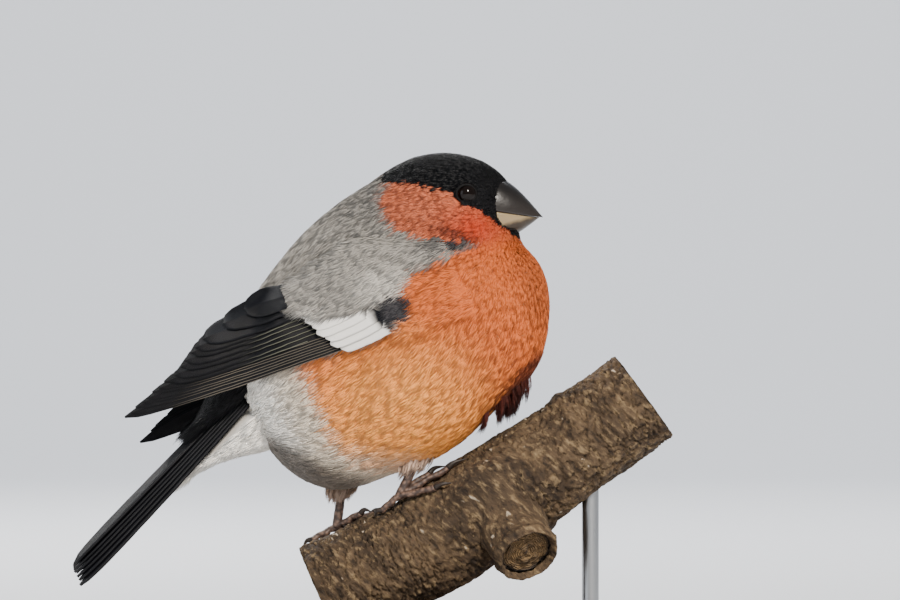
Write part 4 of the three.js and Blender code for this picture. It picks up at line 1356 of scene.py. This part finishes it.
# In metres: the floor's width, its front and rear edges, the backdrop's height and the curve up to it.
FLOOR_WIDTH, FLOOR_FRONT, FLOOR_REAR = 10.0, -5.0, 2.5
BACKDROP_HEIGHT, BACKDROP_CURVE = 2.2, 1.0
BIRD_MIDDLE, BACKDROP_MIDDLE = Vector((0, 0, 0.085)), Vector((0, 2.2, 0.3))
# Each lamp's place, aim, size, share of the main light's power, and colour.
LAMPS = {
    "key": ((0.35, -0.95, 0.72), BIRD_MIDDLE, 0.22, 1.0, (1.0, 0.93, 0.84)),
    "fill": ((-1.0, -0.7, 0.35), BIRD_MIDDLE, 0.8, 0.16, (0.88, 0.94, 1.0)),
    "rim": ((-0.45, 0.75, 0.8), BIRD_MIDDLE, 0.4, 0.4, (1.0, 0.98, 0.95)),
    "backdrop": ((0.0, 0.9, 1.5), BACKDROP_MIDDLE, 1.4, 1.6, (0.97, 0.98, 1.0)),
}


def build_floor(stage):
    """A floor that curves up into a backdrop."""
    clear_selection()
    bpy.ops.mesh.primitive_plane_add(size=1.0)
    floor = take_primitive("floor")
    points = positions(floor) * MM
    depth = np.where(points[:, 1] > 0, FLOOR_REAR, FLOOR_FRONT)
    set_positions(floor, np.stack([points[:, 0] * FLOOR_WIDTH, depth, np.zeros(len(points))], -1) / MM)
    for vertex in floor.data.vertices:
        vertex.select = vertex.co.y > 0
    for edge in floor.data.edges:
        edge.select = all(floor.data.vertices[i].select for i in edge.vertices)
    for face in floor.data.polygons:
        face.select = False
    bpy.ops.object.mode_set(mode="EDIT")
    bpy.ops.mesh.select_mode(type="EDGE")
    bpy.ops.mesh.extrude_edges_move(TRANSFORM_OT_translate={"value": (0, 0, BACKDROP_HEIGHT)})
    bpy.ops.object.mode_set(mode="OBJECT")
    round_edges(floor, BACKDROP_CURVE, 32)
    material, shader, where = new_material("Backdrop", {"Roughness": 0.95})
    shade = [part * 0.96 for part in stage.floor]
    drive(shader, Base_Color=(where.noise(3.0) * 0.3).mix(opaque(stage.floor), opaque(shade)))
    floor.data.materials.append(material)


def build_stage(stage):
    build_floor(stage)
    for name, (place, target, size, power, tint) in LAMPS.items():
        data = bpy.data.lights.new(name, "AREA")
        data.energy, data.size, data.color = stage.key * power, size, tint
        lamp = add_object(name, data)
        lamp.location = place
        lamp.rotation_euler = (target - Vector(place)).to_track_quat("-Z", "Y").to_euler()
    world = bpy.data.worlds.new("Soft studio")
    world.use_nodes = True
    background = world.node_tree.nodes["Background"]
    background.inputs["Color"].default_value = (0.86, 0.92, 1.0, 1)
    background.inputs["Strength"].default_value = stage.ambient
    bpy.context.scene.world = world
    data = bpy.data.cameras.new("Photo view")
    data.sensor_width = SENSOR
    data.lens = SENSOR * CAMERA_DISTANCE / (PHOTO_WIDTH * PHOTO_SCALE)
    data.clip_end = 20
    camera = add_object("Photo view", data)
    camera.location = (VIEW_CENTRE[0] * MM, -CAMERA_DISTANCE * MM, VIEW_CENTRE[1] * MM)
    camera.rotation_euler = (math.pi / 2, 0, 0)
    bpy.context.scene.camera = camera


# What a user would change
def colour_property(name, description, shown):
    return bpy.props.FloatVectorProperty(
        name=name, description=description, default=tuple(linear(shown)), subtype="COLOR", min=0, max=1
    )


def length_property(name, description, millimetres):
    return bpy.props.FloatProperty(
        name=name, description=description, default=millimetres * MM, min=0, precision=4, unit="LENGTH"
    )


def share_property(name, description):
    return bpy.props.FloatProperty(
        name=name, description=description, default=1.0, min=0.1, max=1.5, subtype="FACTOR"
    )


class BullfinchPlumage(bpy.types.PropertyGroup):
    """Sizes and colours of the small feathers"""
    density: share_property("Density", "Small feathers, as a share of the full coat")
    feather_length: share_property("Feather length", "Length of the small feathers, as a share of the usual")
    feather_width: share_property("Feather width", "Width of the small feathers, as a share of the usual")
    cap: colour_property("Cap", "Crown, face and bib", (7, 7, 10))
    cheek: colour_property("Throat", "Throat and lower cheek, where they are reddest", (184, 58, 24))
    cheek_light: colour_property("Cheek", "Cheek under the eye", (190, 100, 66))
    # Painted light on the lower breast.
    breast: colour_property("Breast", "Breast and flanks", (210, 106, 48))
    painted_breast_light: colour_property("Painted breast light", "Painted light on the lower breast", (255, 168, 78))
    belly: colour_property("Belly", "Pale belly", (214, 200, 180))
    # Painted shade on the underside of the belly.
    painted_belly_shade: colour_property("Belly shade", "Painted shade on the underside of the belly", (90, 80, 71))
    vent: colour_property("Vent", "Vent, rump and undertail", (252, 247, 238))
    mantle: colour_property("Mantle", "Grey back and shoulders", (152, 147, 139))
    mantle_light: colour_property("Light mantle", "Paler shoulder feathers", (192, 187, 178))
    # Dark feathers at the side of the neck, also used as painted shade along the top of the back.
    dark_mantle_and_shade: colour_property("Dark mantle", "Dark feathers at the side of the neck, and painted shade on the top of the back", (50, 50, 53))
    # Painted shadow: the dark brown of shade below the cheek, along the breast's front, under its fold and on
    # the hanging fringe.
    painted_shadow: colour_property("Painted shadow", "Painted shadow below the cheek, on the breast and on its fringe", (70, 24, 14))
    patch: colour_property("Wing patch", "Dark feathers at the bend of the wing", (54, 52, 55))


class BullfinchFinishes(bpy.types.PropertyGroup):
    """Colours of what isn't small feathers"""
    eye: colour_property("Eye", "Brown of the eye", (22, 14, 10))
    bill_upper: colour_property("Upper bill", "Horn of the upper bill", (12, 11, 11))
    # Painted highlight along the top of the lower bill.
    bill_lower: colour_property("Lower bill", "Pale side of the lower bill", (146, 128, 96))
    wing_bar: colour_property("Wing bar", "White ends of the barred coverts", (253, 250, 244))
    legs: colour_property("Legs", "Scales of the legs and toes", (116, 92, 78))
    claws: colour_property("Claws", "Pale streaks of the claws", (58, 48, 42))
    bark: colour_property("Bark", "Ridges of the bark", (126, 106, 78))
    bark_flecks: colour_property("Bark flecks", "Pale flecks on the bark", (188, 172, 150))
    cut_wood: colour_property("Cut wood", "Pale rings of the cut ends", (132, 106, 70))
    stand_wood: colour_property("Stand wood", "Pale grain of the plate", (86, 58, 40))
    steel: colour_property("Steel", "Rods and collars", (168, 170, 172))


class BullfinchStand(bpy.types.PropertyGroup):
    """Sizes of the stand"""
    plate_corner: length_property("Plate corner", "Radius of the plate's upright corners", 14.0)
    plate_edge: length_property("Plate edge", "Rounding of the plate's edges", 1.2)
    collar_radius: length_property("Collar radius", "Radius of the collar at each rod's foot", 3.6)
    collar_height: length_property("Collar height", "Height of the collar at each rod's foot", 1.4)


class BullfinchStage(bpy.types.PropertyGroup):
    """Floor colour and light"""
    floor: colour_property("Floor", "Floor and backdrop", (226, 228, 232))
    key: bpy.props.FloatProperty(
        name="Key light", description="Power of the main light", default=24.0, min=0, unit="POWER"
    )
    ambient: bpy.props.FloatProperty(
        name="Ambient", description="Strength of the light from all round", default=0.3, min=0
    )


class BULLFINCH_OT_skin(bpy.types.Operator):
    """Make the skin under the plumage"""
    bl_idname = "bullfinch.skin"
    bl_label = "Skin"
    bl_options = {"REGISTER", "UNDO"}

    def execute(self, context):
        build_skin(context.scene.bullfinch_plumage)
        return {"FINISHED"}


class BULLFINCH_OT_coat(bpy.types.Operator):
    """Cover the head and body with small feathers"""
    bl_idname = "bullfinch.coat"
    bl_label = "Coat"
    bl_options = {"REGISTER", "UNDO"}

    def execute(self, context):
        build_coat(context.scene.bullfinch_plumage)
        return {"FINISHED"}


class BULLFINCH_OT_eyes(bpy.types.Operator):
    """Set the eyes and their lids"""
    bl_idname = "bullfinch.eyes"
    bl_label = "Eyes"
    bl_options = {"REGISTER", "UNDO"}

    def execute(self, context):
        build_eyes(context.scene.bullfinch_finishes)
        return {"FINISHED"}


class BULLFINCH_OT_bill(bpy.types.Operator):
    """Make the upper and lower bill"""
    bl_idname = "bullfinch.bill"
    bl_label = "Bill"
    bl_options = {"REGISTER", "UNDO"}

    def execute(self, context):
        build_bill(context.scene.bullfinch_finishes)
        return {"FINISHED"}


class BULLFINCH_OT_wings(bpy.types.Operator):
    """Lay out the flight feathers, coverts and shoulder feathers of both wings"""
    bl_idname = "bullfinch.wings"
    bl_label = "Wings"
    bl_options = {"REGISTER", "UNDO"}

    def execute(self, context):
        build_wings(context.scene.bullfinch_plumage, context.scene.bullfinch_finishes)
        return {"FINISHED"}


class BULLFINCH_OT_tail(bpy.types.Operator):
    """Lay out the tail and the coverts over and under it"""
    bl_idname = "bullfinch.tail"
    bl_label = "Tail"
    bl_options = {"REGISTER", "UNDO"}

    def execute(self, context):
        build_tail(context.scene.bullfinch_plumage)
        return {"FINISHED"}


class BULLFINCH_OT_perch(bpy.types.Operator):
    """Make the cut branch with its bark and stub"""
    bl_idname = "bullfinch.perch"
    bl_label = "Perch"
    bl_options = {"REGISTER", "UNDO"}

    def execute(self, context):
        build_perch(context.scene.bullfinch_finishes)
        return {"FINISHED"}


class BULLFINCH_OT_legs(bpy.types.Operator):
    """Set both feet on the perch"""
    bl_idname = "bullfinch.legs"
    bl_label = "Legs"
    bl_options = {"REGISTER", "UNDO"}

    def execute(self, context):
        build_legs(context.scene.bullfinch_finishes)
        return {"FINISHED"}


class BULLFINCH_OT_stand(bpy.types.Operator):
    """Make the plate and rods that hold the branch"""
    bl_idname = "bullfinch.stand"
    bl_label = "Stand"
    bl_options = {"REGISTER", "UNDO"}

    def execute(self, context):
        build_stand(context.scene.bullfinch_stand, context.scene.bullfinch_finishes)
        return {"FINISHED"}


class BULLFINCH_OT_stage(bpy.types.Operator):
    """Set the floor, lights and camera"""
    bl_idname = "bullfinch.stage"
    bl_label = "Stage"
    bl_options = {"REGISTER", "UNDO"}

    def execute(self, context):
        build_stage(context.scene.bullfinch_stage)
        return {"FINISHED"}


GROUPS = {
    "bullfinch_plumage": BullfinchPlumage,
    "bullfinch_finishes": BullfinchFinishes,
    "bullfinch_stand": BullfinchStand,
    "bullfinch_stage": BullfinchStage,
}
OPERATORS = (BULLFINCH_OT_stage, BULLFINCH_OT_skin, BULLFINCH_OT_coat, BULLFINCH_OT_eyes, BULLFINCH_OT_bill,
             BULLFINCH_OT_wings, BULLFINCH_OT_tail, BULLFINCH_OT_perch, BULLFINCH_OT_legs, BULLFINCH_OT_stand)


class BULLFINCH_PT_panel(bpy.types.Panel):
    """Lists the settings and the steps that make the bird"""
    bl_idname = "BULLFINCH_PT_panel"
    bl_label = "Bullfinch"
    bl_space_type = "VIEW_3D"
    bl_region_type = "UI"
    bl_category = "Bullfinch"

    def draw(self, context):
        for label, group in GROUPS.items():
            for name in group.__annotations__:
                self.layout.prop(getattr(context.scene, label), name)
        for operator in OPERATORS:
            self.layout.operator(operator.bl_idname)


CLASSES = (*GROUPS.values(), *OPERATORS, BULLFINCH_PT_panel)


def register():
    for one in CLASSES:
        bpy.utils.register_class(one)
    for label, group in GROUPS.items():
        setattr(bpy.types.Scene, label, bpy.props.PointerProperty(type=group))


def unregister():
    for label in GROUPS:
        delattr(bpy.types.Scene, label)
    for one in reversed(CLASSES):
        bpy.utils.unregister_class(one)


def main():
    register()
    for operator in OPERATORS:
        group, step = operator.bl_idname.split(".")
        getattr(getattr(bpy.ops, group), step)()


if __name__ == "__main__":
    main()
